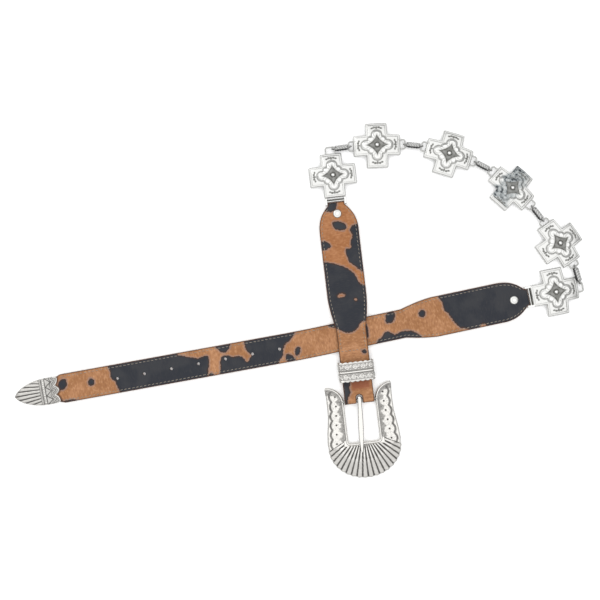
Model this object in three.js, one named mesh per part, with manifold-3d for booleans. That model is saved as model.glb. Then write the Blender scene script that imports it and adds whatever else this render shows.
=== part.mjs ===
// A concho belt laid flat: two leather straps joined by a chain of six cast crosses, with a buckle,
// a keeper and a tip cap of worked metal. Lengths are in millimetres, angles in degrees, +Z is up.
import * as THREE from "three";
import { mergeVertices } from "three/addons/utils/BufferGeometryUtils.js";
import Module from "manifold-3d";

const wasm = await Module();
wasm.setup();

// Clearances
const GAP = 0.3; // between pieces that lie against each other
const PIN_GAP = 0.15; // between a pin or wire and what is threaded on it

// Leather
const LEATHER = 2.7; // thickness of both straps
const SKIVED = 1.0; // thickness where a strap folds round an end pin
const LONG_LENGTH = 483.5; // fold at the last cross to the point of the tip cap
const LONG_WIDTH = 26.6;
const SHORT_LENGTH = 187; // fold at the first cross to fold at the buckle
const SHORT_WIDTH = 27.2;
const FLARE_LENGTH = 118; // widened end next to a cross
const LONG_FLARE = 36.9; // width of the long strap's flare
const SHORT_FLARE = 36.2;
const NECK_RUN = 30; // from the narrow neck out to the full flare
const SHOULDER_RUN = 30; // from the full flare back to the straight strap
const TAB_LENGTH = 25; // end turned back under a flare and riveted
const TAB_THICKNESS = 1.2;
const TAB_RAMP = 6; // how soon the strap drops to the ground past a tab
const BEND_START = 195; // gentle sideways bend of the long strap, from its fold
const BEND_RUN = 36;
const BEND_ANGLE = 1.7;
const RISE_RUN = 16; // length of the short strap's climb over the long one
const FOLD_THICKNESS = 1.3; // leather round the buckle's bar
const PRONG_SLOT_WIDTH = 6.4;
const PRONG_SLOT_LENGTH = 6.2; // from the bar's axis back into the strap
const HOLE_DIAMETER = 2.8;
const HOLE_COUNT = 7;
const HOLE_PITCH = 25.4;
const FIRST_HOLE = 96.1; // from the point of the tip cap
const RIVET_DIAMETER = 7.7;
const RIVET_HEIGHT = 1.3;
const RIVET_SHANK = 2.4;
const LONG_RIVET = 14.3; // from the fold to the rivet
const SHORT_RIVET = 11;

// Crosses
const SPAN = 43.5; // over two opposite arms
const ARM_WIDTH = 20;
const ARM_CORNER = 0.9; // radius of the arms' corners
const PLATE = 2.1; // thickness of the cast plate at its border
const BEVEL = 0.8; // width and depth of the sloped edge
const BORDER = 1.4; // flat border inside the bevel
const RELIEF = 0.35; // how far border and medallion stand above the field
const DOME_RISE = 4; // how far the middle of a cross bulges up
const DOME_RADIUS = 24;
const TIP_LOBE = { centre: 9.4, radius: 5.5 };
const DIAGONAL_LOBE = { centre: 8.2, radius: 3.4 };
const STAR_TIP = 10;
const STAR_WAIST = 3.9;
const BOSS_RADIUS = 1.7;
const BOSS_HEIGHT = 1.1;
const LOOP_WIDTH = 9.9; // over the flat wire loop at an arm's end
const LOOP_DEPTH = 5;
const LOOP_WIRE = 1.4;
const LOOP_SINK = 1.2; // how far the legs reach into the arm
const LOOP_CORNER = 1.7;
const SLOT_WIDTH = 16; // across the ladder that holds a strap
const EAR_WIDTH = 1.7;
const SLOT_DEPTH = 1.3; // open slot next to the cross
const STRIP = 1.3; // bar that shows between slot and leather
const END_PIN = 1.4; // diameter of the pin inside the leather's fold
const EAR_SINK = 2; // how far the ears reach under the arm
const EAR_RISE = 0.7; // how far ears and strip stand above the cross's border
const EAR_UNDER = 0.4; // underside of the ears above the ground
const STRIP_UNDER = 0.8;
const JOIN = 0.5; // overlap of soldered pieces

// Twisted links
const LINK_LENGTH = 18.2; // between the wire centres of its two eyes' ends
const EYE_WIRE = 1.2;
const EYE_HOLE = 2.8;
const TWIST_DIAMETER = 4.2;
const TWIST_DEPTH = 0.3;
const TWIST_STRANDS = 3;
const TWIST_ANGLE = 240;

// Headings of the chain's pieces, from the long strap's cross to the short strap's. A link pulled tight
// has no slack; slack moves both its eyes that far back towards their crosses.
const CHAIN_ROUTE = [
  { name: "concho_6", heading: 11 },
  { name: "link_5", heading: 107.5, slack: 0 },
  { name: "concho_5", heading: 125 },
  { name: "link_4", heading: 128, slack: 0 },
  { name: "concho_4", heading: 138.5 },
  { name: "link_3", heading: 152.5, slack: 0 },
  { name: "concho_3", heading: 163.5 },
  { name: "link_2", heading: 174, slack: 0 },
  { name: "concho_2", heading: 182.5 },
  { name: "link_1", heading: 187.5, slack: 1 },
  { name: "concho_1", heading: 276.5 },
];
const LONG_HEADING = 192;
const SHORT_HEADING = 276.8;

// Tip cap
const CAP_LENGTH = 42;
const CAP_WIDTH = 24.8;
const CAP_WALL = 1.0;
const CAP_TOP = 1.1;
const CAP_EDGE = 0.7; // height of the sloped edge
const CAP_LEATHER = 2.2; // leather thinned to enter the cap
const CAP_LOBE = 8.6; // width of the middle lobe of the scalloped rim
const CAP_NOTCH = 3.6; // depth of the two notches beside it
const CAP_FLUTES = 9;
const CAP_FLUTE_REACH = 25; // from the point
const CAP_FLUTE_START = 7;
const CAP_FLUTE_WIDTH = 1.8;
const CAP_FOCUS = 2; // the flutes point this far past the point
const CAP_SPREAD = 46;
const CAP_RIB = 0.6; // height of flutes and bands
const CAP_BANDS = [0.66, 0.82]; // places of the cross bands as shares of the length, from the point
const CAP_BAND_WIDTH = 1.6;
const CAP_ENTRY = 6; // length over which the strap narrows to enter the cap
const CAP_SHARES = [0.86, 0.71, 0.57, 0.43, 0.29, 0.17]; // outline places, as shares of the length
const CAP_LEATHER_END = 0.11; // where the leather inside ends, as such a share
const CAP_TIP_SHARES = [0.083, 0.029];

// Keeper
const KEEPER_LENGTH = 18.5;
const KEEPER_WALL = 1.0;
const KEEPER_PLACE = 30.4; // its middle, from the buckle's fold
const KEEPER_ROOM = 5.2; // free height for the tip to pass over the strap
const KEEPER_SIDE_DROP = 3; // how much lower its sides are than the crown
const KEEPER_SIDE_GAP = 1.4;
const KEEPER_SCALLOPS = 7;
const KEEPER_SCALLOP_DEPTH = 1.0;
const KEEPER_RIDGE = { width: 1.8, height: 0.6, inset: 2.6, foot: 2 };

// Buckle, measured from the axis of its bar
const BAR_DIAMETER = 2.6;
const BAR_GAP = 0.2;
const BUCKLE_PLATE = 3.2;
const BUCKLE_FLOOR = 0.2; // it rests this far above the ground
const BUCKLE_BEVEL = 0.9;
const OPENING_WIDTH = 29.2;
const OPENING_REACH = 38.6;
const OPENING_CORNER = 2;
const EAR_RADIUS = 15.8; // round inner corner of each horn
const EAR_REACH = 14.6; // how far the horns pass behind the bar
const BUCKLE_SHOULDER = 30.4; // half width beside the bar
const BUCKLE_HALF = 34; // half width at the fan
// The sides from fan to horn: places as shares of the fan's start, swells as shares from one half width
// to the other.
const BUCKLE_SIDE = [
  { place: 0.67, swell: 0.75 },
  { place: 0.3, swell: 0.08 },
  { place: 0.07, swell: 0 },
  { place: -0.295, swell: 0.11 },
];
const BAR_SINK = 3; // how far the bar reaches into the frame
const FAN_START = 42.8; // where the rounded end begins
const FAN_DEPTH = 29.3;
const FAN_FOCUS = 26.8; // the ribs point back to here
const FAN_RIBS = 18;
const FAN_SPREAD = 126;
const FAN_RIB_HEIGHT = 0.9;
const FAN_SCALLOP = 0.7;
const FAN_MARGIN = 1.1; // plain edge past the ribs
const FAN_RIB_RISE = 3; // length over which a rib rises by the opening
const LIP_WIDTH = 2.2; // smooth border round the opening
const LIP_HEIGHT = 0.6;
const LIP_INSET = 0.5; // from the opening's edge
const WAVE_COUNT = 7;
const WAVE_HEIGHT = 0.45;
const WAVE_WIDTH = 0.8;
const WAVE_DEPTH = 1.3;
const WAVE_INSET = 4; // from the buckle's outer edge
const WAVE_MARGIN = { horn: 5, fan: 4 }; // from the horn's tip and from the fan

// Prong
const PRONG_WIDTH = 4.6;
const PRONG_TIP_WIDTH = 3;
const PRONG_REACH = 47.8; // from the bar's axis
const PRONG_THICKNESS = 2.2;
const PRONG_EYE_WALL = 1.1;
const PRONG_SKEW = -4; // it lies a little askew on the bar
const PRONG_BORE_GAP = 0.35;

const SILVER = { color: 0xd9d8d2, roughness: 0.32, metalness: 1 };
const TAN_LEATHER = { color: 0xb8794f, roughness: 0.62, metalness: 0 };

const radians = THREE.MathUtils.degToRad;

// Solids

function solid(geometry) {
  const bare = geometry.index ? geometry.toNonIndexed() : geometry.clone();
  bare.deleteAttribute("normal");
  bare.deleteAttribute("uv");
  const merged = mergeVertices(bare, 1e-4);
  return new wasm.Manifold(
    new wasm.Mesh({
      numProp: 3,
      vertProperties: new Float32Array(merged.attributes.position.array),
      triVerts: new Uint32Array(merged.index.array),
    }),
  );
}

function geometryOf(shape) {
  const mesh = shape.getMesh();
  const geometry = new THREE.BufferGeometry();
  geometry.setAttribute("position", new THREE.BufferAttribute(new Float32Array(mesh.vertProperties), 3));
  geometry.setIndex(new THREE.BufferAttribute(new Uint32Array(mesh.triVerts), 1));
  return geometry;
}

function joined(parts) {
  return parts.reduce((whole, part) => whole.add(part));
}

// An upright prism over an outline of Vector2 points.
function prism(points, bottom, top, holes = []) {
  const shape = new THREE.Shape(points);
  holes.forEach((hole) => shape.holes.push(new THREE.Path(hole)));
  const geometry = new THREE.ExtrudeGeometry(shape, { depth: top - bottom, bevelEnabled: false });
  return solid(geometry.translate(0, 0, bottom));
}

// A solid through closed sections, each a list of Vector3 points with the same count, caps included.
function loft(sections) {
  const count = sections[0].length;
  const positions = sections.flat().flatMap((point) => [point.x, point.y, point.z]);
  const index = [];
  for (let ring = 0; ring + 1 < sections.length; ring += 1) {
    for (let i = 0; i < count; i += 1) {
      const a = ring * count + i;
      const b = ring * count + ((i + 1) % count);
      index.push(a, b, b + count, a, b + count, a + count);
    }
  }
  const flat = flattened(sections[0]);
  const cap = THREE.ShapeUtils.triangulateShape(flat, []);
  const last = (sections.length - 1) * count;
  const anticlockwise = THREE.ShapeUtils.area(flat) > 0;
  cap.forEach(([a, b, c]) => {
    const [second, third] = anticlockwise ? [b, c] : [c, b];
    index.push(a, third, second);
    index.push(last + a, last + second, last + third);
  });
  const geometry = new THREE.BufferGeometry();
  geometry.setAttribute("position", new THREE.Float32BufferAttribute(positions, 3));
  geometry.setIndex(index);
  const shape = solid(geometry);
  return shape.volume() < 0 ? solid(turnedOut(geometry)) : shape;
}

// A section's points seen along the axis that it faces most, for the caps.
function flattened(section) {
  const facing = new THREE.Vector3();
  section.forEach((point, i) => {
    facing.add(new THREE.Vector3().crossVectors(point, section[(i + 1) % section.length]));
  });
  const [x, y, z] = [Math.abs(facing.x), Math.abs(facing.y), Math.abs(facing.z)];
  if (z >= x && z >= y) return section.map((p) => new THREE.Vector2(p.x, p.y));
  if (x >= y) return section.map((p) => new THREE.Vector2(p.y, p.z));
  return section.map((p) => new THREE.Vector2(p.z, p.x));
}

function turnedOut(geometry) {
  const index = geometry.index.array;
  for (let i = 0; i < index.length; i += 3) {
    [index[i + 1], index[i + 2]] = [index[i + 2], index[i + 1]];
  }
  return geometry;
}

// A plate with one outline below and an inset one on top.
function bevelledPlate(outline, inset, bottom, shoulder, top) {
  const at = (points, z) => points.map((p) => new THREE.Vector3(p.x, p.y, z));
  return loft([at(outline, bottom), at(outline, shoulder), at(inset, top)]);
}

function box(x0, x1, y0, y1, z0, z1) {
  const geometry = new THREE.BoxGeometry(x1 - x0, y1 - y0, z1 - z0);
  return solid(geometry.translate((x0 + x1) / 2, (y0 + y1) / 2, (z0 + z1) / 2));
}

// A round bar across the piece, along Y.
function crossBar(diameter, length, x, z, sides) {
  const geometry = new THREE.CylinderGeometry(diameter / 2, diameter / 2, length, sides);
  return solid(geometry.translate(x, 0, z));
}

// A side view in x and z, extruded across the piece by its width.
function sideProfile(points, width, holes = []) {
  const shape = new THREE.Shape(points);
  holes.forEach((hole) => shape.holes.push(new THREE.Path(hole)));
  const geometry = new THREE.ExtrudeGeometry(shape, { depth: width, bevelEnabled: false });
  return solid(geometry.translate(0, 0, -width / 2).rotateX(Math.PI / 2));
}

function arcPoints(x, y, radius, from, to, steps) {
  return Array.from({ length: steps + 1 }, (_, i) => {
    const angle = radians(from + ((to - from) * i) / steps);
    return new THREE.Vector2(x + radius * Math.cos(angle), y + radius * Math.sin(angle));
  });
}

function circle(x, y, radius, sides) {
  return arcPoints(x, y, radius, 0, 360 - 360 / sides, sides - 1);
}

// A symmetric outline from its upper half; points on the axis are kept once.
function mirroredOutline(half) {
  const lower = half.filter((p) => Math.abs(p.y) > 1e-6).map((p) => new THREE.Vector2(p.x, -p.y));
  return [...half, ...lower.reverse()];
}

// An outline moved inwards by a small distance, for a bevel.
function inset(points, distance) {
  const area = THREE.ShapeUtils.area(points);
  const side = Math.sign(area) * distance;
  return points.map((point, i) => {
    const before = points[(i + points.length - 1) % points.length];
    const after = points[(i + 1) % points.length];
    const a = new THREE.Vector2().subVectors(point, before).normalize();
    const b = new THREE.Vector2().subVectors(after, point).normalize();
    const normal = new THREE.Vector2(-a.y - b.y, a.x + b.x).normalize();
    const stretch = 1 / Math.max(0.5, normal.dot(new THREE.Vector2(-a.y, a.x)));
    return new THREE.Vector2(point.x + normal.x * side * stretch, point.y + normal.y * side * stretch);
  });
}

// Frames on the ground: a place and a heading

function frameAt(x, y, heading) {
  return { x, y, heading };
}

function ahead(frame, along, aside = 0) {
  const angle = radians(frame.heading);
  return {
    x: frame.x + along * Math.cos(angle) - aside * Math.sin(angle),
    y: frame.y + along * Math.sin(angle) + aside * Math.cos(angle),
  };
}

// Where the chain's pieces lie, each link's eye held just inside the wire of a cross's loop.

const HALF = SPAN / 2;
const EYE_RADIUS = (EYE_HOLE + EYE_WIRE) / 2; // of the eye's wire centre
const EYE_Z = EYE_RADIUS + EYE_WIRE / 2 + 0.05;
const LOOP_Z = EYE_Z - 0.2;
const EYE_SEAT = PIN_GAP + EYE_WIRE / 2; // from a loop's inner edge to the eye's wire centre
const LOOP_REACH = HALF + LOOP_DEPTH - LOOP_WIRE - EYE_SEAT;
const CORNER_REACH = LOOP_REACH - 0.3;
const CORNER_ASIDE = LOOP_WIDTH / 2 - LOOP_WIRE - EYE_SEAT;

// The place in a cross's loop where a link's eye sits: at the loop's side if the chain turns a corner.
function loopPlace(cross, end, turn, slack) {
  if (Math.abs(turn) < 45) return ahead(cross, end * (LOOP_REACH - slack));
  return ahead(cross, end * CORNER_REACH, Math.sign(turn) * (CORNER_ASIDE - slack));
}

function layChain() {
  const frames = {};
  let here = frameAt(0, 0, CHAIN_ROUTE[0].heading);
  CHAIN_ROUTE.forEach(({ name, heading, slack }, i) => {
    const turn = heading - here.heading;
    if (slack !== undefined) {
      const start = loopPlace(here, 1, turn, slack);
      here = frameAt(start.x, start.y, heading);
    } else if (i > 0) {
      const end = ahead(here, LINK_LENGTH);
      const offset = loopPlace(frameAt(0, 0, heading), -1, turn, CHAIN_ROUTE[i - 1].slack);
      here = frameAt(end.x - offset.x, end.y - offset.y, heading);
    }
    frames[name] = here;
  });
  return frames;
}

const FRAMES = layChain();

// Straps

const FOLD_INNER = END_PIN / 2 + PIN_GAP;
const FOLD_OUTER = FOLD_INNER + SKIVED;
const PIN_REACH = SLOT_DEPTH + STRIP + GAP + FOLD_OUTER; // pin's axis from the cross's edge
const PIN_Z = FOLD_OUTER;
const NECK_WIDTH = SLOT_WIDTH - 2 * GAP;
const NECK_STRAIGHT = FOLD_OUTER + END_PIN / 2 + GAP; // the neck clears the ladder's ears

const longPin = ahead(FRAMES.concho_6, -(HALF + PIN_REACH));
FRAMES.strap_long = frameAt(longPin.x, longPin.y, LONG_HEADING);
const shortPin = ahead(FRAMES.concho_1, HALF + PIN_REACH);
FRAMES.strap_short = frameAt(shortPin.x, shortPin.y, SHORT_HEADING);

// Half width of a flared strap end at a distance from its fold.
function flareHalf(distance, straight, full) {
  const neck = NECK_WIDTH / 2;
  if (distance <= NECK_STRAIGHT) return neck;
  if (distance < NECK_RUN) {
    const share = (distance - NECK_STRAIGHT) / (NECK_RUN - NECK_STRAIGHT);
    return full - (full - neck) * (1 - share) ** 2.8;
  }
  const past = (distance - (FLARE_LENGTH - SHOULDER_RUN)) / SHOULDER_RUN;
  if (past <= 0) return full;
  if (past >= 1) return straight;
  return full - (full - straight) * past ** 1.5;
}

function shares(count, from, to) {
  return Array.from({ length: count + 1 }, (_, i) => from + ((to - from) * i) / count);
}

const FLARE_STATIONS = [
  0,
  ...shares(8, NECK_STRAIGHT, NECK_RUN),
  ...shares(6, FLARE_LENGTH - SHOULDER_RUN, FLARE_LENGTH),
];

// Sideways offset of the long strap's centreline at a distance from its fold.
function bendOffset(distance) {
  const past = distance - BEND_START;
  const slope = Math.tan(radians(BEND_ANGLE));
  if (past <= 0) return 0;
  if (past < BEND_RUN) return (-slope * past ** 2) / (2 * BEND_RUN);
  return -slope * (past - BEND_RUN / 2);
}

// Half width of the tip cap at a distance from its point.
function capHalf(fromPoint) {
  const widest = 0.72 * CAP_LENGTH;
  const share = Math.min(1, Math.max(0, fromPoint / widest));
  const swell = (1 - (1 - share) ** 2) ** 0.65;
  const past = Math.max(0, fromPoint - widest) / (CAP_LENGTH - widest);
  return (CAP_WIDTH / 2) * swell * (1 - 0.055 * past ** 2);
}

// Half width of the leather inside the cap.
function cappedHalf(fromPoint) {
  return Math.max(0, capHalf(fromPoint) - CAP_WALL - GAP);
}

function longHalf(distance) {
  const fromPoint = LONG_LENGTH - distance;
  if (fromPoint >= CAP_LENGTH + CAP_ENTRY) return flareHalf(distance, LONG_WIDTH / 2, LONG_FLARE / 2);
  if (fromPoint <= CAP_LENGTH) return cappedHalf(fromPoint);
  const share = (fromPoint - CAP_LENGTH) / CAP_ENTRY;
  return cappedHalf(CAP_LENGTH) + share * (LONG_WIDTH / 2 - cappedHalf(CAP_LENGTH));
}

function longOutline() {
  const stations = [
    ...FLARE_STATIONS,
    ...shares(3, BEND_START, BEND_START + BEND_RUN),
    LONG_LENGTH - CAP_LENGTH - CAP_ENTRY,
    ...[1, ...CAP_SHARES, CAP_LEATHER_END].map((share) => LONG_LENGTH - share * CAP_LENGTH),
  ];
  const left = stations.map((d) => new THREE.Vector2(d - FOLD_OUTER, bendOffset(d) + longHalf(d)));
  const right = stations.map((d) => new THREE.Vector2(d - FOLD_OUTER, bendOffset(d) - longHalf(d)));
  return [...left, ...right.reverse()];
}

// The folded end by a cross, as top and bottom points of a side view from the pin outwards.
function foldArc(x, z, radius) {
  return arcPoints(x, z, radius, 270, 90, 8);
}

function buildLongStrap() {
  const end = LONG_LENGTH - FOLD_OUTER;
  const flareTop = LEATHER + TAB_THICKNESS;
  const capStart = LONG_LENGTH - CAP_LENGTH - FOLD_OUTER;
  const profile = [
    ...foldArc(0, PIN_Z, FOLD_OUTER).reverse(),
    new THREE.Vector2(end, 0),
    new THREE.Vector2(end, CAP_LEATHER),
    new THREE.Vector2(capStart, CAP_LEATHER),
    new THREE.Vector2(capStart - CAP_ENTRY, LEATHER),
    new THREE.Vector2(TAB_LENGTH + TAB_RAMP, LEATHER),
    new THREE.Vector2(TAB_LENGTH, flareTop),
    new THREE.Vector2(FOLD_OUTER * 2, flareTop),
  ];
  const pinHole = circle(0, PIN_Z, FOLD_INNER, 12);
  const side = sideProfile(profile, 4 * LONG_FLARE, [pinHole]);
  const plan = prism(longOutline(), -1, 10);
  const holes = Array.from({ length: HOLE_COUNT }, (_, i) => {
    const distance = LONG_LENGTH - FIRST_HOLE - i * HOLE_PITCH;
    return prism(circle(distance - FOLD_OUTER, bendOffset(distance), HOLE_DIAMETER / 2, 10), -1, 10);
  });
  const rivetHole = prism(circle(LONG_RIVET - FOLD_OUTER, 0, RIVET_SHANK / 2 + GAP, 10), -1, 10);
  return side.intersect(plan).subtract(joined(holes)).subtract(rivetHole);
}

// How far along the short strap the long one is crossed, and half the length of that crossing.
function crossing() {
  const a = FRAMES.strap_short;
  const b = FRAMES.strap_long;
  const angle = radians(b.heading - a.heading);
  const dx = b.x - a.x;
  const dy = b.y - a.y;
  const heading = radians(b.heading);
  const along = (dx * Math.sin(heading) - dy * Math.cos(heading)) / Math.sin(angle);
  const sine = Math.abs(Math.sin(angle));
  const cosine = Math.abs(Math.cos(angle));
  return { along, half: (LONG_WIDTH / 2 + (SHORT_WIDTH / 2) * cosine) / sine };
}

const CROSSING = crossing();
const OVER = LEATHER + GAP; // underside of the short strap above the long one
const STRAP_TOP = OVER + LEATHER;
const BUCKLE_FOLD = BAR_DIAMETER / 2 + BAR_GAP + FOLD_THICKNESS;
const BAR_PLACE = SHORT_LENGTH - FOLD_OUTER - BUCKLE_FOLD; // from the short strap's pin
const BAR_Z = STRAP_TOP - BUCKLE_FOLD;
const TAB_UNDER = KEEPER_WALL + GAP; // underside of the tab that passes through the keeper

function shortOutline() {
  const end = BAR_PLACE + BUCKLE_FOLD;
  const half = FLARE_STATIONS.map(
    (d) => new THREE.Vector2(d - FOLD_OUTER, flareHalf(d, SHORT_WIDTH / 2, SHORT_FLARE / 2)),
  );
  half.push(new THREE.Vector2(end, SHORT_WIDTH / 2));
  return mirroredOutline(half);
}

function buildShortStrap() {
  const flareTop = LEATHER + TAB_THICKNESS;
  const climbed = CROSSING.along - CROSSING.half - 1;
  const tabStart = CROSSING.along + CROSSING.half + GAP;
  const profile = [
    ...foldArc(0, PIN_Z, FOLD_OUTER).reverse(),
    new THREE.Vector2(climbed - RISE_RUN, 0),
    new THREE.Vector2(climbed, OVER),
    new THREE.Vector2(tabStart, OVER),
    new THREE.Vector2(tabStart + 1, TAB_UNDER),
    new THREE.Vector2(BAR_PLACE - 2 * BUCKLE_FOLD, TAB_UNDER),
    ...arcPoints(BAR_PLACE, BAR_Z, BUCKLE_FOLD, -90, 90, 10),
    new THREE.Vector2(climbed, STRAP_TOP),
    new THREE.Vector2(climbed - RISE_RUN, LEATHER),
    new THREE.Vector2(TAB_LENGTH + TAB_RAMP, LEATHER),
    new THREE.Vector2(TAB_LENGTH, flareTop),
    new THREE.Vector2(FOLD_OUTER * 2, flareTop),
  ];
  const pinHole = circle(0, PIN_Z, FOLD_INNER, 12);
  const barHole = circle(BAR_PLACE, BAR_Z, BAR_DIAMETER / 2 + BAR_GAP, 14);
  const side = sideProfile(profile, 2 * SHORT_FLARE, [pinHole, barHole]);
  const plan = prism(shortOutline(), -1, 20);
  const rivetHole = prism(circle(SHORT_RIVET - FOLD_OUTER, 0, RIVET_SHANK / 2 + GAP, 10), -1, 10);
  const slotEnd = BAR_PLACE - PRONG_SLOT_LENGTH + PRONG_SLOT_WIDTH / 2;
  const slotRound = arcPoints(slotEnd, 0, PRONG_SLOT_WIDTH / 2, 90, 270, 6);
  const past = BAR_PLACE + BUCKLE_FOLD + 1;
  const slot = prism(
    [
      ...slotRound,
      new THREE.Vector2(past, -PRONG_SLOT_WIDTH / 2),
      new THREE.Vector2(past, PRONG_SLOT_WIDTH / 2),
    ],
    -1,
    20,
  );
  return side.intersect(plan).subtract(rivetHole).subtract(slot);
}

function buildRivet() {
  const top = LEATHER + TAB_THICKNESS;
  const radius = RIVET_DIAMETER / 2;
  const profile = [
    new THREE.Vector2(0, 0.1),
    new THREE.Vector2(RIVET_SHANK / 2, 0.1),
    new THREE.Vector2(RIVET_SHANK / 2, top + 0.1),
    new THREE.Vector2(radius, top + 0.1),
    new THREE.Vector2(radius * 0.92, top + RIVET_HEIGHT * 0.55),
    new THREE.Vector2(radius * 0.6, top + RIVET_HEIGHT * 0.9),
    new THREE.Vector2(0, top + RIVET_HEIGHT),
  ];
  return solid(new THREE.LatheGeometry(profile, 14).rotateX(Math.PI / 2));
}

// Crosses

// A cross of four equal arms, with a point in the middle of each arm's end to carry the bulge.
function crossOutline(half, armHalf, corner) {
  const arm = [
    ...arcPoints(half - corner, corner - armHalf, corner, -90, 0, 2),
    new THREE.Vector2(half, 0),
    ...arcPoints(half - corner, armHalf - corner, corner, 0, 90, 2),
    new THREE.Vector2(armHalf, armHalf),
  ];
  const centre = new THREE.Vector2();
  return [0, 90, 180, 270].flatMap((angle) =>
    arm.map((point) => point.clone().rotateAround(centre, radians(angle))),
  );
}

// The lobed medallion: the farthest reach of eight overlapping circles in each direction.
function medallionOutline(steps) {
  const reach = (angle) => {
    const found = Array.from({ length: 8 }, (_, i) => {
      const lobe = i % 2 === 0 ? TIP_LOBE : DIAGONAL_LOBE;
      const off = radians(angle - i * 45);
      const across = lobe.centre * Math.sin(off);
      if (Math.cos(off) <= 0 || Math.abs(across) >= lobe.radius) return 0;
      return lobe.centre * Math.cos(off) + Math.sqrt(lobe.radius ** 2 - across ** 2);
    });
    return Math.max(...found);
  };
  return Array.from({ length: steps }, (_, i) => {
    const angle = (360 * i) / steps;
    const r = reach(angle);
    return new THREE.Vector2(r * Math.cos(radians(angle)), r * Math.sin(radians(angle)));
  });
}

function starOutline() {
  const centre = new THREE.Vector2();
  return [0, 90, 180, 270].flatMap((angle) => [
    new THREE.Vector2(STAR_TIP, 0).rotateAround(centre, radians(angle)),
    new THREE.Vector2(STAR_WAIST, STAR_WAIST).rotateAround(centre, radians(angle)),
  ]);
}

function domeHeight(x, y) {
  return Math.max(0, DOME_RISE * (1 - (x ** 2 + y ** 2) / DOME_RADIUS ** 2));
}

function domed(shape) {
  const geometry = geometryOf(shape);
  const position = geometry.getAttribute("position");
  for (let i = 0; i < position.count; i += 1) {
    position.setZ(i, position.getZ(i) + domeHeight(position.getX(i), position.getY(i)));
  }
  return solid(geometry);
}

function buildPlate() {
  const outline = crossOutline(HALF, ARM_WIDTH / 2, ARM_CORNER);
  const rim = crossOutline(HALF - BEVEL, ARM_WIDTH / 2 - BEVEL, ARM_CORNER);
  const fieldInset = BEVEL + BORDER;
  const field = crossOutline(HALF - fieldInset, ARM_WIDTH / 2 - fieldInset, ARM_CORNER / 2);
  const floor = PLATE - RELIEF;
  const plate = bevelledPlate(outline, rim, 0, PLATE - BEVEL, PLATE);
  const medallion = prism(medallionOutline(36), floor - 0.2, PLATE + 0.1, [starOutline()]);
  const boss = solid(
    new THREE.SphereGeometry(1, 8, 5).scale(BOSS_RADIUS, BOSS_RADIUS, BOSS_HEIGHT).translate(0, 0, floor),
  );
  return domed(plate.subtract(prism(field, floor, PLATE + 1)).add(medallion).add(boss));
}

// The flat wire loop at an arm's end, its legs sunk into the arm.
function wireLoop() {
  const half = (LOOP_WIDTH - LOOP_WIRE) / 2;
  const far = HALF + LOOP_DEPTH - LOOP_WIRE / 2;
  const near = HALF - LOOP_SINK;
  const bend = LOOP_CORNER;
  const path = new THREE.CurvePath();
  const corner = (x, y) => new THREE.Vector3(x, y, LOOP_Z);
  path.add(new THREE.LineCurve3(corner(near, -half), corner(far - bend, -half)));
  path.add(new THREE.QuadraticBezierCurve3(
    corner(far - bend, -half),
    corner(far, -half),
    corner(far, -half + bend),
  ));
  path.add(new THREE.LineCurve3(corner(far, -half + bend), corner(far, half - bend)));
  path.add(new THREE.QuadraticBezierCurve3(
    corner(far, half - bend),
    corner(far, half),
    corner(far - bend, half),
  ));
  path.add(new THREE.LineCurve3(corner(far - bend, half), corner(near, half)));
  const section = new THREE.Shape(circle(0, 0, LOOP_WIRE / 2, 6));
  return solid(
    new THREE.ExtrudeGeometry(section, { steps: 10, bevelEnabled: false, extrudePath: path }),
  );
}

// The ladder that a strap folds through: two ears, a strip that shows and a pin inside the fold.
function ladder() {
  const inner = SLOT_WIDTH / 2;
  const outer = inner + EAR_WIDTH;
  const end = HALF + PIN_REACH + END_PIN / 2;
  const top = PLATE + EAR_RISE;
  const ears = [-1, 1].map((side) => {
    const edges = [side * inner, side * outer].sort((a, b) => a - b);
    return box(HALF - EAR_SINK, end, edges[0], edges[1], EAR_UNDER, top);
  });
  const reach = inner + JOIN;
  const strip = box(HALF + SLOT_DEPTH, HALF + SLOT_DEPTH + STRIP, -reach, reach, STRIP_UNDER, top);
  const pin = crossBar(END_PIN, 2 * reach, HALF + PIN_REACH, PIN_Z, 10);
  return joined([...ears, strip, pin]);
}

function buildConcho(front, back) {
  const turn = (shape) => shape.rotate([0, 0, 180]);
  return joined([buildPlate(), front, turn(back)]);
}

// Links: two upright eyes with a twisted bar between them

function twistedBar(from, to) {
  const steps = 5;
  const radius = TWIST_DIAMETER / 2 - TWIST_DEPTH / 2;
  const sections = shares(steps, 0, 1).map((share) => {
    const sides = TWIST_STRANDS * 3;
    return Array.from({ length: sides }, (_, i) => {
      const angle = (2 * Math.PI * i) / sides;
      const r = radius + (TWIST_DEPTH / 2) * Math.cos(TWIST_STRANDS * angle);
      const turned = angle + radians(TWIST_ANGLE * share);
      const x = from + (to - from) * share;
      return new THREE.Vector3(x, r * Math.cos(turned), r * Math.sin(turned));
    });
  });
  return loft(sections);
}

function buildLink() {
  const eye = (x) =>
    solid(new THREE.TorusGeometry(EYE_RADIUS, EYE_WIRE / 2, 5, 12).rotateX(Math.PI / 2).translate(x, 0, 0));
  const barStart = 2 * EYE_RADIUS - EYE_WIRE / 4;
  const bar = twistedBar(barStart, LINK_LENGTH - barStart);
  return joined([eye(EYE_RADIUS), bar, eye(LINK_LENGTH - EYE_RADIUS)]).translate([0, 0, EYE_Z]);
}

// Tip cap, from its rim at x = 0 to its point

function capSide(wall, from) {
  const places = [1, ...CAP_SHARES, ...CAP_TIP_SHARES];
  const stations = places.map((share) => share * (CAP_LENGTH - wall));
  const edge = stations.map((t) => {
    const half = Math.max(0.05, capHalf(t + wall) - wall);
    return new THREE.Vector2(CAP_LENGTH - wall - t, half);
  });
  edge[0] = new THREE.Vector2(from, capHalf(CAP_LENGTH) - wall);
  edge.push(new THREE.Vector2(CAP_LENGTH - wall * 1.3, 0));
  return edge;
}

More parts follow.
